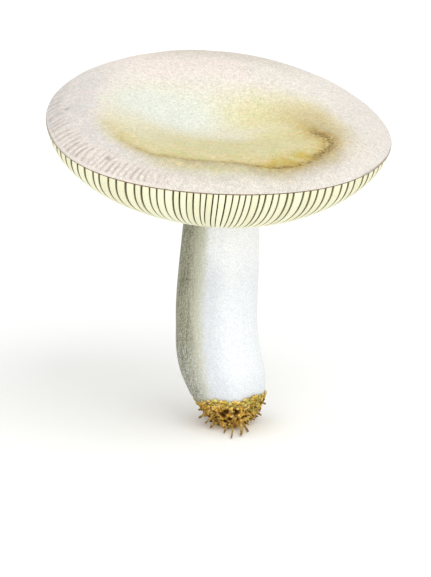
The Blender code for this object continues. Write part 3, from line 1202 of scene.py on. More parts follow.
    def fold_zones(self, skin: SkinPoints) -> dict[str, Array]:
        """Colours along the fold.

        Ochre lies on both sides of it. Brown beside it is painted shade, with a rust spot and a
        brown streak, and the dark crease in it is painted shade too. Painted smoke shade dims the
        ring along its front, and tan and a painted dim shade go round its hook.

        Args:
            skin: the points.

        Returns:
            The zones' numbers by name.
        """
        right, back, fine, tint = skin.right, skin.back, skin.fine, skin.tint
        inside, outside = skin.inside, skin.outside
        clean = self.clean(skin)
        hook = between(back, -36.0 * MM, -16.0 * MM)
        on_ring = skin.distance < 0
        band = np.where(on_ring, hill(outside, 2.8 * MM) * (1.0 - clean), hill(inside, 6.5 * MM))
        golden = self.golden.cover(skin) * (1.0 - 0.7 * clean * between(outside, 0.0, 2.0 * MM))
        near_side = between(skin.fold, 0.1, 0.6) * between(back, -20.0 * MM, -32.0 * MM)
        upper_arm = between(right, 25.0 * MM, 33.0 * MM) * between(back, -22.0 * MM, -13.0 * MM)
        # Painted shade outside the hook's upper arm, and along the fold's front.
        dim_shade = 0.95 * on_ring * hill(outside, 7.5 * MM) * upper_arm * tint
        smoke_shade = 0.8 * on_ring * hill(outside, 6.0 * MM) * near_side
        rightward = np.maximum(hook, between(right, 6.0 * MM, 18.0 * MM))
        reach = mix(1.8 * MM, 3.4 * MM, rightward)
        # Painted shade beside the fold, laid as brown.
        fold_shade = np.where(on_ring, hill(outside, reach), hill(inside, 2.8 * MM))
        around_hook = hill(outside, 8.5 * MM) * hook * between(right, 22.0 * MM, 30.0 * MM)
        around_hook = around_hook * np.minimum(tint * 1.5, 1.0)
        distance, fold, _ = self.strand.reach(right, back)
        strand = hill(distance, 1.0 * MM) * fold
        mottle = np.clip(0.85 + 0.55 * fine, 0.0, 1.25)
        rust = self.rust.cover(skin)
        # Brown and crease are painted shade along the fold, with the rust spot and the streak.
        return {
            "tan": held((self.tan.cover(skin) + 0.8 * around_hook) * (0.75 + 0.3 * fine)),
            "dim_shade": held(dim_shade * (1.0 + 0.3 * fine)),
            "smoke_shade": held(smoke_shade * (1.0 + 0.3 * fine)),
            "ochre": held((band * tint * 0.8 + 0.7 * golden) * mottle),
            "brown": held(0.9 * fold_shade * skin.fold * tint + 0.6 * rust + 0.5 * strand),
            "crease": held(hill(skin.distance, mix(1.3 * MM, 1.0 * MM, tint)) * skin.fold + strand),
        }

    def zones(self, share: Array, angle: Array) -> tuple[Array, dict[str, Array]]:
        """Relief and colour zones of the skin.

        Args:
            share: shares of the radius.
            angle: angles from +X.

        Returns:
            Heights to add to the skin, and the zones' numbers by name.
        """
        skin = self.survey(share, angle)
        stripe = self.stripes(skin)
        pit = sum(hill(np.hypot(skin.right - x, skin.back - y), self.pit_radius) for x, y in self.pits)
        values = self.ring_zones(skin) | self.dish_zones(skin) | self.fold_zones(skin)
        values["stripe"] = held(stripe * (0.8 + 0.4 * skin.fine) + pit)
        return self.relief(skin, stripe, pit), values

    def build(self) -> Piece:
        """Build the whole cap as one closed surface.

        Returns:
            The cap's object.
        """
        net = Net()
        rings = []
        for share, count in self.top_rings():
            angle = even_turn(count)
            shares = np.full(count, share)
            relief, values = self.zones(shares, angle)
            height = self.form.skin_height(shares, angle) + relief
            rings.append(net.add(self.form.points(shares * self.inside, angle, height), **values))
        blank = {name: 0.0 for name in values}
        angle = even_turn(self.margin_points)
        for turn in np.radians(self.lip_turns):
            sunk = self.lip * (1.0 - math.cos(turn)) / 2 / self.form.radius
            height = np.full(self.margin_points, -self.lip * math.sin(turn))
            points = self.form.points(np.full(self.margin_points, self.inside - sunk), angle, height)
            rings.append(net.add(points, **blank | {"rim": 1.0}))
        for share, count in self.lid:
            angle = even_turn(count)
            shares = np.full(count, share)
            under = 0.6 * MM + 2.2 * MM * smooth((1.0 - share) / 0.1)
            height = self.form.skin_height(shares, angle) - under
            rings.append(net.add(self.form.points(shares, angle, height), **blank))
        net.chain(rings)
        middle = self.form.on_axis(-self.form.dish_depth)
        _, values = self.zones(np.zeros(1), np.zeros(1))
        net.close_top(middle, rings[0], **values)
        net.close_bottom(middle - 3.0 * MM * UP, rings[-1], **blank)
        return net.build("cap")


@dataclass
class Gills:
    """The gills as one closed body: close blades under the cap, joined by their flesh.

    The gaps between blades are laid out first, all about equally wide and at uneven steps,
    and a blade fills the room from one gap to the next. Its section has a flat crown,
    elliptical shoulders and straight walls. The lid closes the body inside the cap, as
    shares of the radius and how far they lie under the skin. The throat closes it inside
    the stem, as a share of the radius and a height as a share of the gills' reach.
    """

    form: CapForm
    count: int = 116
    crowding: float = 0.35
    gap_front: float = 0.20
    gap_side: float = 0.29
    spread: float = 0.27
    swirl: float = 0.02
    depth: float = 11.0 * MM
    depth_at_stem: float = 0.45
    start: float = 0.9955
    rows: int = 40
    shoulder: float = 0.22 * MM
    shoulder_share: float = 0.16
    tilt: float = math.radians(55.0)
    fork_share: float = 0.05
    throat: tuple[float, float] = (0.12, -0.97)
    lid: tuple[tuple[float, float], ...] = (
        (0.975, 1.1 * MM),
        (0.88, 3.0 * MM),
        (0.55, 6.0 * MM),
        (0.25, 6.0 * MM),
    )
    seed: int = 5

    def crowded(self, turns: Array) -> Array:
        """Change even shares of a turn to angles that lie closer at the front and the back."""
        even = FULL_TURN * turns
        return even + self.crowding / 2 * np.sin(2 * even)

    def section(self) -> tuple[Array, Array, Array]:
        """A blade's section, from the middle of one gap over the crown to the next gap.

        Returns:
            Sideways places from -1 to 1, drops from the crown as shares of the shoulder,
            and drops as shares of the whole depth.
        """
        turn = np.radians([0.0, 35.0, 62.0, 90.0])
        side = np.concatenate([[0.0], 1.0 - self.shoulder_share * (1.0 - np.sin(turn)), [1.0, 1.0]])
        near = np.concatenate([[0.0], 1.0 - np.cos(turn), [1.0, 0.0]])
        deep = np.concatenate([np.zeros(5), [0.4, 1.0]])
        mirrored = np.concatenate([-side[::-1], side[1:]])
        return mirrored, np.concatenate([near[::-1], near[1:]]), np.concatenate([deep[::-1], deep[1:]])

    def walls(self, draw: np.random.Generator, turn: Array) -> tuple[Array, Array]:
        """Lay out the gaps, and give each blade the room between two of them.

        A gap's place is its number, moved a little at random and swaying along its length;
        its width is a share of the pitch that grows towards the cap's two sides.

        Args:
            draw: the source of random numbers.
            turn: angles along the bowl, one for each row.

        Returns:
            The first and the last step of each blade, as row and blade.
        """
        gap = np.arange(self.count) + draw.uniform(-0.13, 0.13, self.count)
        sway = draw.uniform(0.0, FULL_TURN, self.count)
        side = np.cos(FULL_TURN * gap / self.count) ** 2
        half = mix(self.gap_front, self.gap_side, side) / 2 * draw.uniform(0.85, 1.15, self.count)
        middle = gap + 0.07 * np.sin(2.4 * turn[:, None] + sway)
        after = np.roll(middle - half, -1, axis=1)
        after[:, -1] += self.count
        return middle + half, after

    def deepness(self, turn: Array, share: Array) -> Array:
        """How deep the gaps are: nothing at the margin, full soon after, less at the stem.

        Args:
            turn: angles along the bowl.
            share: shares of the radius there.

        Returns:
            Depths, one for each row.
        """
        deep = self.depth * np.sin(turn) ** 0.75 + 1.2 * MM * smooth(turn / 0.03)
        at_stem = smooth((share - self.form.gill_end) / 0.03)
        return deep * mix(self.depth_at_stem, 1.0, smooth((share - 0.3) / 0.3)) * at_stem

    def drops(self, turn: Array, fork: Array, deepness: Array) -> Array:
        """How far points lie under the crowns; a gap closes where its two blades fork.

        Args:
            turn: angles along the bowl.
            fork: the angle where each blade's first gap closes.
            deepness: the gaps' depths.

        Returns:
            Distances, as row, blade and point of the section.
        """
        _, shoulder, wall = self.section()
        first_half = np.arange(len(wall)) <= len(wall) // 2
        closed = np.where(first_half, fork[:, None], np.roll(fork, -1)[:, None])
        open_gap = between(turn[:, None, None], closed + 0.08, closed)
        deep = deepness[:, None, None]
        return (np.minimum(shoulder * self.shoulder, deep * 0.5) + wall * deep) * open_gap

    def build(self) -> Piece:
        """Build every blade on one grid of rows round the cap.

        The blades' angles spread apart towards the cap's two sides on their way to the stem.

        Returns:
            The gills' object.
        """
        draw = np.random.default_rng(self.seed)
        turn = np.linspace(0.0, math.pi / 2, self.rows)
        first, last = self.walls(draw, turn)
        tone = draw.uniform(0.0, 1.0, self.count)
        forked = draw.random(self.count) < self.fork_share
        fork = np.where(forked, draw.uniform(0.55, 1.1, self.count), math.pi)

        share, height = self.form.gill_edge(turn)
        drop = self.drops(turn, fork, self.deepness(turn, share))
        side = self.section()[0]
        even = self.crowded(mix(first[..., None], last[..., None], (side + 1.0) / 2) / self.count)
        share, height, along = (row[:, None, None] for row in (share, height, turn))
        spread = self.spread * np.cos(even) * np.abs(np.cos(even)) - self.swirl
        angle = even + spread * smooth(along)
        tilt = self.tilt * (1.0 - smooth(along / (math.pi / 2)))
        shares = self.start * share - drop * np.sin(tilt) / self.form.radius
        shift = self.form.stem_offset * (1.0 - share)
        points = self.form.points(shares, angle, height + drop * np.cos(tilt), shift)

        net = Net()
        # Painted shade in the gaps, lighter at the front and darker towards the cap's sides.
        gap = smooth((drop - 0.03 * MM) / (0.16 * MM)) * mix(0.72, 1.0, np.cos(even) ** 2)
        # Each blade's own tone at random, with painted shade down its walls, and darker towards the
        # stem.
        tone_and_shade = mix(0.5 * tone[:, None], 1.0, smooth(drop / (0.6 * MM)))
        tone_and_shade = np.maximum(tone_and_shade, between(along, 0.85, 1.25))
        across = self.count * len(side)
        flat = {"gap": gap.reshape(self.rows, across), "tone": tone_and_shade.reshape(self.rows, across)}
        index = net.add(points.reshape(self.rows, across, 3), **flat)
        blank = {"gap": 1.0, "tone": 1.0}
        throat = np.full(across, self.throat[0])
        level = self.throat[1] * self.form.gill_reach
        inner = self.form.points(throat, angle[-1].reshape(-1), level)
        rings = [net.add(inner, **blank), *index[::-1]]
        angle = angle[0].reshape(-1)
        for lid_share, sink in self.lid:
            shares = np.full(across, lid_share)
            height = self.form.skin_height(shares, angle) - sink
            rings.append(net.add(self.form.points(shares, angle, height), **blank))
        net.chain(rings, upwards=True)
        net.close_bottom(self.form.on_axis(level), rings[0], **blank)
        net.close_top(self.form.on_axis(-self.form.dish_depth - self.lid[-1][1]), rings[-1], **blank)
        return net.build("gills")


# Stem


@dataclass
class Stem:
    """The stout, bowed stem, from its rounded foot in the soil to the flesh of the cap.

    A station is a height, the centre's places to the right and to the back, and a radius.
    """

    form: CapForm
    stations: tuple[tuple[float, float, float, float], ...] = (
        (11.5 * MM, -0.4 * MM, 0.3 * MM, 13.2 * MM),
        (18.0 * MM, -1.7 * MM, 0.8 * MM, 14.6 * MM),
        (26.0 * MM, -3.3 * MM, 1.3 * MM, 14.7 * MM),
        (36.0 * MM, -4.0 * MM, 1.9 * MM, 14.2 * MM),
        (48.0 * MM, -3.8 * MM, 2.6 * MM, 14.0 * MM),
        (60.0 * MM, -3.1 * MM, 3.2 * MM, 13.6 * MM),
        (73.5 * MM, -2.3 * MM, 3.5 * MM, 13.0 * MM),
    )
    turn_length: float = 24.0 * MM
    waves: Waves = ((2, 0.012, 20.0), (5, 0.006, 65.0))
    foot_bottom: float = 2.2 * MM
    foot_roundness: float = 1.15
    foot_centre: float = 1.6 * MM
    into_cap: float = 10.0 * MM
    columns: int = 256
    # The sector, in degrees, of the olive stain and its painted shade.
    stain_and_shade_sector: tuple[float, float] = (95.0, 249.0)

    def through(self, column: int, height: Array) -> Array:
        """Read a value at heights from a smooth cubic through the stations.

        Args:
            column: which of a station's numbers to read.
            height: heights above the floor.

        Returns:
            The values there.
        """
        table = np.array(self.stations)
        heights, values = table[:, 0], table[:, column]
        slopes = np.gradient(values, heights)
        i = np.clip(np.searchsorted(heights, height) - 1, 0, len(heights) - 2)
        span = heights[i + 1] - heights[i]
        t = np.clip((height - heights[i]) / span, 0.0, 1.0)
        start = (2 * t**3 - 3 * t**2 + 1) * values[i] + (t**3 - 2 * t**2 + t) * span * slopes[i]
        end = (3 * t**2 - 2 * t**3) * values[i + 1] + (t**3 - t**2) * span * slopes[i + 1]
        return start + end

    def foot_radius(self, height: Array) -> Array:
        """Radius of the rounded foot: it shrinks to nothing at the bottom, like a blunt egg."""
        foot = self.stations[0][0]
        drop = np.clip((foot - height) / (foot - self.foot_bottom), 0.0, 1.0)
        return self.stations[0][3] * np.sqrt(1.0 - drop**self.foot_roundness)

    def column(self, angle: Array, height: Array) -> Array:
        """Places on a plain round column, where the stem's noises are read.

        Args:
            angle: angles round the stem.
            height: heights above the floor.

        Returns:
            Places, three numbers in the last axis.
        """
        places = outward(angle) * 14.0 * MM
        places[..., 2] = height
        return places

    def relief(self, angle: Array, height: Array) -> Array:
        """Shallow ribs along the stem, and soft dents.

        Args:
            angle: angles round the stem.
            height: heights above the floor.

        Returns:
            Distances to add to the radius.
        """
        ribs = layered_noise(self.column(angle, height / 12.0), 1.5 * MM, 60)
        dents = soft_noise(self.column(angle, height), 11.0 * MM, 71)
        return 0.09 * MM * ribs + 0.22 * MM * dents

    def stain_and_shade(self, angle: Array, height: Array) -> dict[str, Array]:
        """Where the olive stain and its painted shade lie: crisp towards the front, soft at the back.

        Painted light brightens the top, and a bluish painted shade lies beside the stain, with a
        bluish tint that grows towards the foot.

        Args:
            angle: angles round the stem.
            height: heights above the floor.

        Returns:
            The numbers of the stem's zones, by name.
        """
        degrees = np.degrees(angle) % 360.0
        degrees = degrees + 2.5 * soft_noise(self.column(angle, height), 9.0 * MM, 80)
        back, front = self.stain_and_shade_sector
        cover = between(degrees, front + 13.0, front - 13.0)
        cover = cover * between(degrees, back - 12.0, back + 22.0)
        beside = between(degrees, front + 42.0, front + 6.0) * between(degrees, back - 40.0, back)
        low = between(height, 26.0 * MM, 12.0 * MM)
        # Painted light near the top, against the cap's shade.
        high = between(height, 50.0 * MM, 68.0 * MM)
        return {
            # The olive stain and its painted shade on the left, lighter low down.
            "stain_and_shade": cover * mix(1.0, 0.74, between(height, 46.0 * MM, 16.0 * MM)),
            "stain_and_shade_depth": between(degrees, front - 2.0, front - 38.0),
            # Bluish painted shade beside the stain, less near the top; a faint tint all round, more
            # towards the foot.
            "cool_tint_and_shade": held(beside * (1.0 - 0.7 * high) + 0.05 + 0.55 * low),
            # Pale: painted light near the top.
            "pale": high,
        }

    def build(self) -> Piece:
        """Build the stem's rings from the cap down to the foot.

        Returns:
            The stem's object.
        """
        foot, top = self.stations[0][0], self.stations[-1][0]
        straight = np.linspace(top, foot, 105, endpoint=False)
        rounding = foot - (foot - self.foot_bottom) * np.sin(np.linspace(0.0, math.radians(84.0), 22))
        height = np.concatenate([straight, rounding])[:, None]
        angle = np.broadcast_to(even_turn(self.columns), (len(height), self.columns))
        base = np.where(height >= foot, self.through(3, height), self.foot_radius(height))
        down = np.clip((foot - height) / (foot - self.foot_bottom), 0.0, 1.0)
        right = mix(self.through(1, height), self.foot_centre, down)
        back = self.through(2, height) * (1.0 - down)

        radius = base * (1.0 + wave_sum(self.waves, angle)) + self.relief(angle, height + 0 * angle)
        ring = radius[..., None] * outward(angle)
        lean = smooth((height - top + self.turn_length) / self.turn_length)[..., None]
        turned = mix(ring, ring @ self.form.turn().T, lean)
        centre = np.concatenate([right, back, height], axis=1)[:, None, :]
        points = turned + centre

        net = Net()
        index = net.add(points, **self.stain_and_shade(angle, height + 0 * angle))
        up = self.form.turn() @ (self.into_cap * UP)
        blank = {"stain_and_shade": 0.0, "stain_and_shade_depth": 0.0, "cool_tint_and_shade": 0.0, "pale": 0.0}
        hidden = net.add(points[0] + up, **blank)
        net.chain([hidden, *index])
        net.close_top(centre[0, 0] + up, hidden, **blank)
        net.close_bottom(np.array([self.foot_centre, 0.0, self.foot_bottom]), index[-1], **blank)
        return net.build("stem")


# Soil


@dataclass
class SoilClump:
    """The earth at the foot: a lumpy body with holes, crumbs, rootlets and litter tufts.

    A station is a height, the centre's place to the right and a radius. The slacks are
    angles in degrees where the body is thinner low down, and by how large a share of its
    radius. A front hole is an angle in degrees, a height and a radius in millimetres, and a
    tuft is an angle, a height and a size in the same way, and how yellow it is.
    """

    stations: tuple[tuple[float, float, float], ...] = (
        (0.0 * MM, 0.3 * MM, 7.0 * MM),
        (1.4 * MM, 0.6 * MM, 8.5 * MM),
        (3.4 * MM, 0.7 * MM, 10.1 * MM),
        (5.8 * MM, 0.7 * MM, 11.5 * MM),
        (8.3 * MM, 0.3 * MM, 12.4 * MM),
        (10.2 * MM, -0.15 * MM, 13.1 * MM),
        (11.6 * MM, -0.35 * MM, 13.7 * MM),
        (13.0 * MM, -0.55 * MM, 14.0 * MM),
    )
    lip_height: float = 10.4 * MM
    lip_drop: float = 2.4 * MM
    slacks: tuple[tuple[float, float], ...] = ((200.0, 0.30), (335.0, 0.14))
    columns: int = 260
    rows: int = 70
    front_holes: tuple[tuple[float, float, float], ...] = (
        (246.0, 4.5, 0.75),
        (234.0, 4.2, 0.8),
        (256.5, 5.6, 0.85),
        (265.0, 7.5, 0.9),
        (282.0, 7.3, 1.15),
        (285.5, 4.2, 0.85),
        (299.0, 4.4, 0.8),
        (304.0, 6.9, 0.8),
        (311.0, 6.2, 0.55),
        (271.0, 4.4, 0.75),
        (258.0, 3.2, 0.7),
        (236.0, 6.6, 0.6),
        (322.0, 8.1, 0.5),
    )
    hole_count: int = 40
    crumb_count: int = 520
    rootlet_count: int = 84
    front_rootlets: tuple[tuple[float, ...], ...] = (
        (-10.5, -1.0, 4.9, -6.5, -0.5, 5.6, 0.50),
        (-10.3, -3.0, 2.6, -6.0, -3.5, 4.5, 0.50),
        (-8.0, -7.0, 1.7, -4.8, -6.8, 4.4, 0.34),
        (-6.2, -9.2, 0.9, -3.8, -6.8, 2.4, 0.50),
        (-1.4, -14.6, 0.6, -0.6, -7.0, 1.1, 0.42),
        (1.0, -20.4, 0.43, 1.2, -7.0, 1.2, 0.36),
        (4.4, -17.6, 0.6, 4.0, -6.8, 1.9, 0.56),
        (7.0, -13.0, 0.6, 5.2, -6.0, 1.6, 0.48),
        (9.9, -4.2, 2.9, 6.8, -2.8, 3.2, 0.44),
        (11.7, -1.2, 3.0, 8.0, -1.0, 4.6, 0.46),
        (13.3, -0.5, 6.9, 10.0, -0.3, 8.3, 0.42),
        (-3.6, -11.6, 2.6, -2.6, -7.0, 4.4, 0.40),
        (2.4, -12.8, 2.4, 1.8, -7.0, 4.2, 0.44),
        (-8.9, -8.6, 5.6, -6.0, -6.0, 7.0, 0.40),
        (8.6, -9.6, 4.6, 6.0, -6.6, 6.2, 0.42),
    )
    tufts: tuple[tuple[float, float, float, float], ...] = (
        (198.0, 7.6, 0.9, 0.1),
        (209.0, 8.0, 1.0, 0.3),
        (220.0, 8.6, 1.1, 0.1),
        (232.0, 9.6, 1.0, 0.3),
        (243.0, 10.3, 1.0, 0.2),
        (251.5, 11.0, 1.4, 0.9),
        (259.0, 10.5, 1.1, 0.3),
        (268.0, 10.3, 1.2, 0.5),
        (276.0, 10.5, 1.4, 1.0),
        (284.0, 10.5, 1.2, 0.1),
        (291.0, 11.0, 1.3, 0.5),
        (299.0, 10.9, 1.4, 1.0),
        (307.0, 11.0, 1.3, 0.8),
        (316.0, 11.4, 1.3, 0.3),
        (327.0, 11.3, 1.4, 0.9),
        (338.0, 11.1, 1.3, 0.3),
        (349.0, 10.9, 1.2, 0.6),
    )
    seeded_tufts: int = 16
    lobes: int = 11
    seed: int = 17

    def outer(self, height: Array, angle: Array) -> Array:
        """Points of the clump's outer face, without its lumps.

        Args:
            height: heights above the floor.
            angle: angles from +X.

        Returns:
            Places, three numbers in the last axis.
        """
        table = np.array(self.stations)
        centre = np.interp(height, table[:, 0], table[:, 1])
        radius = np.interp(height, table[:, 0], table[:, 2])
        low = between(height, 10.4 * MM, 1.6 * MM)
        for turn, slack in self.slacks:
            radius = radius * (1.0 - slack * low * towards(angle, turn, 0.5, 0.95))
        flat = [centre + radius * np.cos(angle), radius * np.sin(angle), height + 0 * angle]
        return np.stack(np.broadcast_arrays(*flat), axis=-1)

    def lip(self, angle: Array) -> Array:
        """Heights of the clump's upper edge, which dips on the left."""
        return self.lip_height - self.lip_drop * towards(angle, 190.0, 0.5, 0.97)

    def holes(self, draw: np.random.Generator) -> tuple[Array, Array]:
        """Places and radii of the dark holes: those set at the front, and seeded ones.

        The seeded ones are spread by the golden angle and jittered, and the few that fall
        in the front's middle are moved to the back.

        Args:
            draw: the source of random numbers.

        Returns:
            Their places and their radii.
        """
        index = np.arange(self.hole_count)
        angle = FULL_TURN * ((index * 0.381966 + draw.uniform(-0.04, 0.04, self.hole_count)) % 1.0)
        angle = np.where(np.abs(angle - 1.53 * math.pi) < 1.25, angle - math.pi, angle)
        height = self.lip(angle) * draw.uniform(0.19, 0.83, self.hole_count)
        radius = draw.uniform(0.55 * MM, 1.0 * MM, self.hole_count)
        front = np.array(self.front_holes)
        places = [self.outer(height, angle), self.outer(front[:, 1] * MM, np.radians(front[:, 0]))]
        return np.concatenate(places), np.concatenate([radius, front[:, 2] * MM])

    def hollow(self, points: Array, centres: Array, radii: Array) -> Array:
        """How deep in a hole each point lies: the largest bell of its distance to a centre."""
        gap = np.linalg.norm(points[..., None, :] - centres, axis=-1)
        return np.max(hill(gap, radii * 1.1), axis=-1)

    def body(self, centres: Array, radii: Array) -> Piece:
        """Build the lumpy body, closed over the foot that it holds.

        Each point moves out along its radius by layered noise, and in at the holes. The
        upper edge wavers up and down by noise round the turn.

        Args:
            centres: the holes' places.
            radii: the holes' radii.

        Returns:
            The body's object.
        """
        angle = np.broadcast_to(even_turn(self.columns), (self.rows, self.columns))
        away = outward(angle)
        lip = self.lip(angle[0]) + 0.55 * MM * layered_noise(away[0] * 13.0 * MM, 4.0 * MM, 98)
        height = lip * np.linspace(1.0, 0.0, self.rows)[:, None]
        points = self.outer(height, angle)
        hole = self.hollow(points, centres, radii)
        calm = smooth(height / (1.5 * MM)) * mix(0.45, 1.0, between(height, lip, lip - 2.5 * MM))
        lumps = 0.70 * MM * layered_noise(points, 2.2 * MM, 90)
        lumps = lumps + 0.45 * MM * layered_noise(points, 6.0 * MM, 95)
        points = points + away * ((lumps - 1.5 * MM * hole) * calm)[..., None]
        # Darker on the front left, below the upper edge.
        darker_front_left = towards(angle, 236.0, 0.6, 0.95) * between(height, 9.5 * MM, 7.0 * MM)
        darker_front_left = darker_front_left * between(layered_noise(points, 1.8 * MM, 97), -0.15, 0.25)
        # Litter on the right, which is also lit there: less painted shade and more painted highlight.
        grassy_and_lit = 0.9 * towards(angle, 338.0, 0.7, 0.98)
        # Painted shade in holes and hollows, less on the right, and darker on the front left.
        shade = held(1.6 * hole - lumps / MM * (1.0 - 0.5 * grassy_and_lit) + 0.45 * darker_front_left)
        # Painted highlight on raised lumps and on the right side.
        glint = held(lumps / (0.7 * MM) - 1.2 * hole + 0.4 * grassy_and_lit)

        net = Net()
        index = net.add(points, shade=shade, glint=glint, litter=grassy_and_lit)
        lid = points[0] * np.array([0.8, 0.8, 1.0]) - 0.6 * MM * UP
        blank = {"shade": 1.0, "glint": 0.0, "litter": 0.0}
        inner = net.add(lid, **blank)
        net.chain([inner, *index])
        net.close_top((self.lip_height - 2.0 * MM) * UP, inner, **blank)
        net.close_bottom(np.array([0.3 * MM, 0.0, 0.0]), index[-1], **blank)
        return net.build("soil_body")

    def crumbs(self, draw: np.random.Generator, centres: Array, radii: Array) -> Piece:
        """Build loose crumbs stuck to the body: small uneven balls of a few dozen faces each.

        Args:
            draw: the source of random numbers.
            centres: the holes' places.
            radii: the holes' radii, which the crumbs keep out of.

        Returns:
            The crumbs' object.
        """
        count = self.crumb_count
        angle = draw.uniform(0.0, FULL_TURN, count)
        height = self.lip(angle) * draw.uniform(0.12, 0.98, count)
        middle = self.outer(height, angle)
        size = draw.uniform(0.24 * MM, 0.62 * MM, count)
        uneven = draw.uniform(0.7, 1.25, (count, 4, 7, 1))
        tone = draw.random(count)
        kept = self.hollow(middle, centres, radii) < 0.35
        middle, size, uneven, tone = middle[kept], size[kept], uneven[kept], tone[kept, None, None]
        rows = ball((55.0, 20.0, -20.0, -55.0), 7) * size[:, None, None, None] * uneven
        rows = middle[:, None, None, :] + rows
        poles = np.array([0.85, -0.85])[:, None] * UP
        tips = middle[:, None, :] + size[:, None, None] * poles
        # Crumbs are darker or paler at random, their own tone.
        shade = between(tone, 0.45, 0.0)
        glint = 0.5 * between(tone, 0.6, 1.0)
        net = Net()
        net.add_stalks(rows, tips, shade=shade, glint=glint, litter=0.25 * tone)
        return net.build("soil_crumbs")

    def rootlets(self, draw: np.random.Generator) -> Piece:
        """Build stubby rootlets that stand out of the body and droop to the floor.

        Those at the front are listed, as the tip's place, the root's place and the
        radius in millimetres. The seeded ones are short, and longer at the back.

        Args:
            draw: the source of random numbers.

        Returns:
            The rootlets' object.
        """
        count = self.rootlet_count
        angle = FULL_TURN * (np.arange(count) * 0.381966 + draw.uniform(-0.1, 0.1, count))
        height = self.lip(angle) * draw.uniform(0.12, 0.8, count)
        surface = self.outer(height, angle)
        heading = outward(angle + draw.uniform(-0.5, 0.5, count))
        shown = between(np.sin(angle), 0.85, 0.35)
        long = draw.uniform(1.4 * MM, 4.2 * MM, count)
        reach = mix(long, draw.uniform(0.2 * MM, 1.2 * MM, count), shown)
        radius = draw.uniform(0.32 * MM, 0.56 * MM, count)
        sink = reach * draw.uniform(0.1, 0.9, count)
        tip = surface + heading * reach[:, None]
        tip[:, 2] = np.maximum(tip[:, 2] - sink, radius + 0.15 * MM)
        root = surface - outward(angle) * 2.4 * MM
        placed = np.array(self.front_rootlets) * MM
        tip = np.concatenate([tip, placed[:, 0:3]])
        root = np.concatenate([root, placed[:, 3:6]])
        return self.tubes(draw, tip, root, np.concatenate([radius, placed[:, 6]]))

    def tubes(self, draw: np.random.Generator, tip: Array, root: Array, radius: Array) -> Piece:
        """Carry a round, uneven section along each bent line from a tip to a root.

        Args:
            draw: the source of random numbers.
            tip: the tips' places.
            root: the roots' places.
            radius: the radii at the roots.

        Returns:
            The rootlets' object.
        """
        count = len(tip)
        along = np.array([0.0, 0.03, 0.12, 0.4, 0.7, 1.0])
        swell = np.array([0.35, 0.66, 0.8, 0.85, 1.0, 1.15])
        length = np.linalg.norm(root - tip, axis=1, keepdims=True)
        ahead = (root - tip) / length
        side = np.cross(ahead, UP)
        side = side / np.linalg.norm(side, axis=1, keepdims=True)
        up = np.cross(side, ahead)
        bend = draw.uniform(-0.07, 0.07, (count, 1, 1)) * length[:, None, :] * side[:, None, :]
        sag = 0.05 * length[:, None, :] * up[:, None, :]
        arch = (4.0 * along * (1.0 - along))[None, :, None]
        spine = tip[:, None, :] + (root - tip)[:, None, :] * along[None, :, None] + (bend + sag) * arch
        around = even_turn(8)
        ring = side[:, None, None, :] * np.cos(around)[:, None]
        ring = ring + up[:, None, None, :] * np.sin(around)[:, None]
        uneven = draw.uniform(0.88, 1.12, (count, len(along), 8, 1))
        thick = radius[:, None, None, None] * swell[:, None, None] * uneven
        rows = spine[:, :, None, :] + ring * thick
        rows[..., 2] = np.maximum(rows[..., 2], 0.02 * MM)
        tips = np.stack([tip - ahead * radius[:, None] * 0.2, root], axis=1)
        dark = draw.uniform(0.0, 1.0, (count, 1, 1))
        shade = between(along, 0.6, 0.0)[None, :, None] * mix(0.5, 1.0, dark)
        glint = between(along, 0.25, 0.7)[None, :, None] * between(dark, 0.5, 0.0)
        net = Net()
        net.add_stalks(rows, tips, shade=shade, glint=glint, litter=0.0)
        return net.build("rootlets")

    def tuft_plan(self, draw: np.random.Generator) -> Array:
        """Plan the tufts: seeded ones at the back, then those listed at the front.

        Args:
            draw: the source of random numbers.

        Returns:
            Rows of an angle in degrees, a height and a size in millimetres, and how yellow
            the tuft is, each as often as the tuft has lobes.
        """
        count = self.seeded_tufts
        turn = np.linspace(0.0, 186.0, count) + draw.uniform(-3.0, 3.0, count)
        height = self.lip(np.radians(turn)) / MM + draw.uniform(-0.7, 0.7, count)
        seeded = [turn, height, draw.uniform(1.0, 1.4, count), draw.random(count)]
        plan = np.concatenate([np.stack(seeded, axis=1), np.array(self.tufts)])
        return np.repeat(plan, self.lobes, axis=0)

    def fringe(self, draw: np.random.Generator) -> Piece:
        """Build tufts of litter and earth that lean on the foot round the clump's upper edge.

        Each tuft is a few flattened, uneven balls, with painted shade below and a painted highlight on
        top.

        Args:
            draw: the source of random numbers.

        Returns:
            The fringe's object.
        """
        plan = self.tuft_plan(draw)
        total = len(plan)
        angle = np.radians(plan[:, 0] + draw.uniform(-6.0, 6.0, total))
        size = plan[:, 2] * MM * draw.uniform(0.2, 0.6, total)
        height = (plan[:, 1] + draw.uniform(-1.3, 0.9, total)) * MM
        middle = self.outer(height, angle)
        away = outward(angle)[:, None, None, :]
        beside = outward(angle + math.pi / 2)[:, None, None, :]
        x, y, z = np.moveaxis(ball((70.0, 45.0, 15.0, -20.0, -60.0), 12), -1, 0)[..., None]
        uneven = draw.uniform(0.65, 1.35, (total, 5, 12, 1))
        lobe = (beside * x + UP * z * 1.15) * uneven - away * y * 0.5
        rows = middle[:, None, None, :] + lobe * size[:, None, None, None]
        poles = UP * np.array([1.1, -1.0])[:, None] * size[:, None, None]
        # Painted shade on each lobe's underside.
        shade = between(z[..., 0], 0.4, -0.9) * draw.uniform(0.2, 1.0, (total, 1, 1))
        # Painted highlight on each lobe's top.
        glint = between(z[..., 0], 0.0, 0.9) * draw.uniform(0.0, 1.0, (total, 1, 1))
        net = Net()
        litter = plan[:, 3, None, None]
        net.add_stalks(rows, middle[:, None, :] + poles, shade=shade, glint=glint, litter=litter)
        return net.build("litter_fringe")

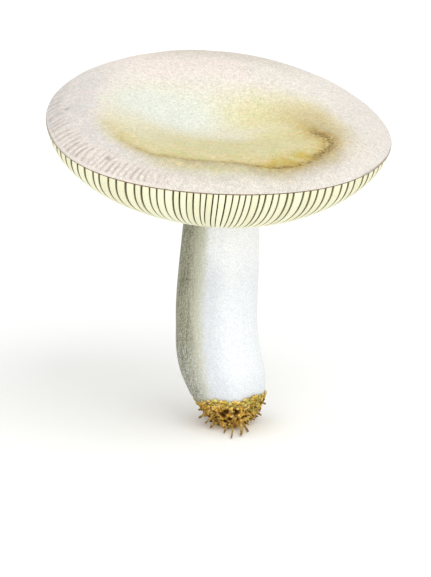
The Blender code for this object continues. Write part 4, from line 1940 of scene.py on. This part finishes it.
    def build(self) -> list[tuple[Piece, Finish]]:
        """Build the clump's four pieces with their finishes.

        Returns:
            Pairs of an object and its finish.
        """
        draw = np.random.default_rng(self.seed)
        centres, radii = self.holes(draw)
        tints = SoilColours()
        earth = SoilFinish("earth", tints, tints.earth, tints.earth_dark)
        root = SoilFinish("rootlet", tints, tints.rootlet, tints.rootlet_tip)
        return [
            (self.body(centres, radii), earth),
            (self.crumbs(draw, centres, radii), earth),
            (self.rootlets(draw), root),
            (self.fringe(draw), earth),
        ]


# Studio


@dataclass
class Studio:
    """Camera, pale floor and soft light."""

    camera_place: Place = (-4.414 * MM, -976.957 * MM, 292.345 * MM)
    camera_target: Place = (-4.414 * MM, 0.0, 48.762 * MM)
    lens: float = 180.0
    sensor: float = 36.0
    floor_half: float = 6.0
    floor_drop: float = 0.05 * MM
    floor_white: float = 0.96
    sky: float = 0.86

    def build(self) -> None:
        """Make the camera, the floor, the sky and the lamps."""
        self.camera()
        self.floor()
        self.sky_light()
        self.lamp("key", (0.55, -0.75, 1.1), 45.0, 0.9)
        self.lamp("front_fill", (-0.15, -1.5, 0.30), 70.0, 0.8)
        bpy.context.scene.view_settings.view_transform = "Standard"

    def aim(self, item: Piece, target: Place) -> None:
        """Turn an object's -Z towards a target, with +Y up."""
        direction = Vector(target) - item.location
        item.rotation_euler = direction.to_track_quat("-Z", "Y").to_euler()

    def camera(self) -> None:
        """Make the camera that frames the mushroom as the picture does."""
        data = bpy.data.cameras.new("camera")
        data.lens = self.lens
        data.sensor_width = self.sensor
        data.clip_start = 0.01
        data.clip_end = 20.0
        item = bpy.data.objects.new("camera", data)
        item.location = self.camera_place
        self.aim(item, self.camera_target)
        bpy.context.scene.collection.objects.link(item)
        bpy.context.scene.camera = item

    def floor(self) -> None:
        """Make the pale floor just under the soil."""
        half = self.floor_half
        corners = [(-half, -half), (half, -half), (half, half), (-half, half)]
        mesh = bpy.data.meshes.new("floor")
        mesh.from_pydata([(x, y, -self.floor_drop) for x, y in corners], [], [(0, 1, 2, 3)])
        item = bpy.data.objects.new("floor", mesh)
        bpy.context.scene.collection.objects.link(item)
        finish = Finish("floor", 0.9, 0.1)
        white = self.floor_white
        finish.shader.inputs["Base Color"].default_value = (white, white, white, 1.0)
        mesh.materials.append(finish.material())

    def sky_light(self) -> None:
        """Make an even white sky."""
        world = bpy.data.worlds.new("sky")
        world.use_nodes = True
        world.node_tree.nodes["Background"].inputs["Color"].default_value = (1.0, 1.0, 1.0, 1.0)
        world.node_tree.nodes["Background"].inputs["Strength"].default_value = self.sky
        bpy.context.scene.world = world

    def lamp(self, name: str, place: Place, spread: float, strength: float) -> None:
        """Make one far, soft lamp that lights the mushroom and its floor evenly.

        Args:
            name: the lamp's name.
            place: the side that it shines from, as a place it would stand at.
            spread: how wide it looks, in degrees.
            strength: its strength.
        """
        data = bpy.data.lights.new(name, "SUN")
        data.angle = math.radians(spread)
        data.energy = strength
        item = bpy.data.objects.new(name, data)
        item.location = place
        self.aim(item, (0.0, 0.0, 0.0))
        bpy.context.scene.collection.objects.link(item)


def main() -> None:
    """Build the studio and every piece."""
    logging.basicConfig(level=logging.INFO, format="%(message)s")
    Studio().build()
    form = CapForm()
    hand_over(Cap(form).build(), Node.MUSHROOM, Slot.FLESH, CapFinish(SkinColours()))
    hand_over(Gills(form).build(), Node.MUSHROOM, Slot.FLESH, GillFinish(GillColours()))
    hand_over(Stem(form).build(), Node.MUSHROOM, Slot.FLESH, StemFinish(StemColours()))
    for piece, finish in SoilClump().build():
        hand_over(piece, Node.CLUMP, Slot.SOIL, finish)


if __name__ == "__main__":
    main()
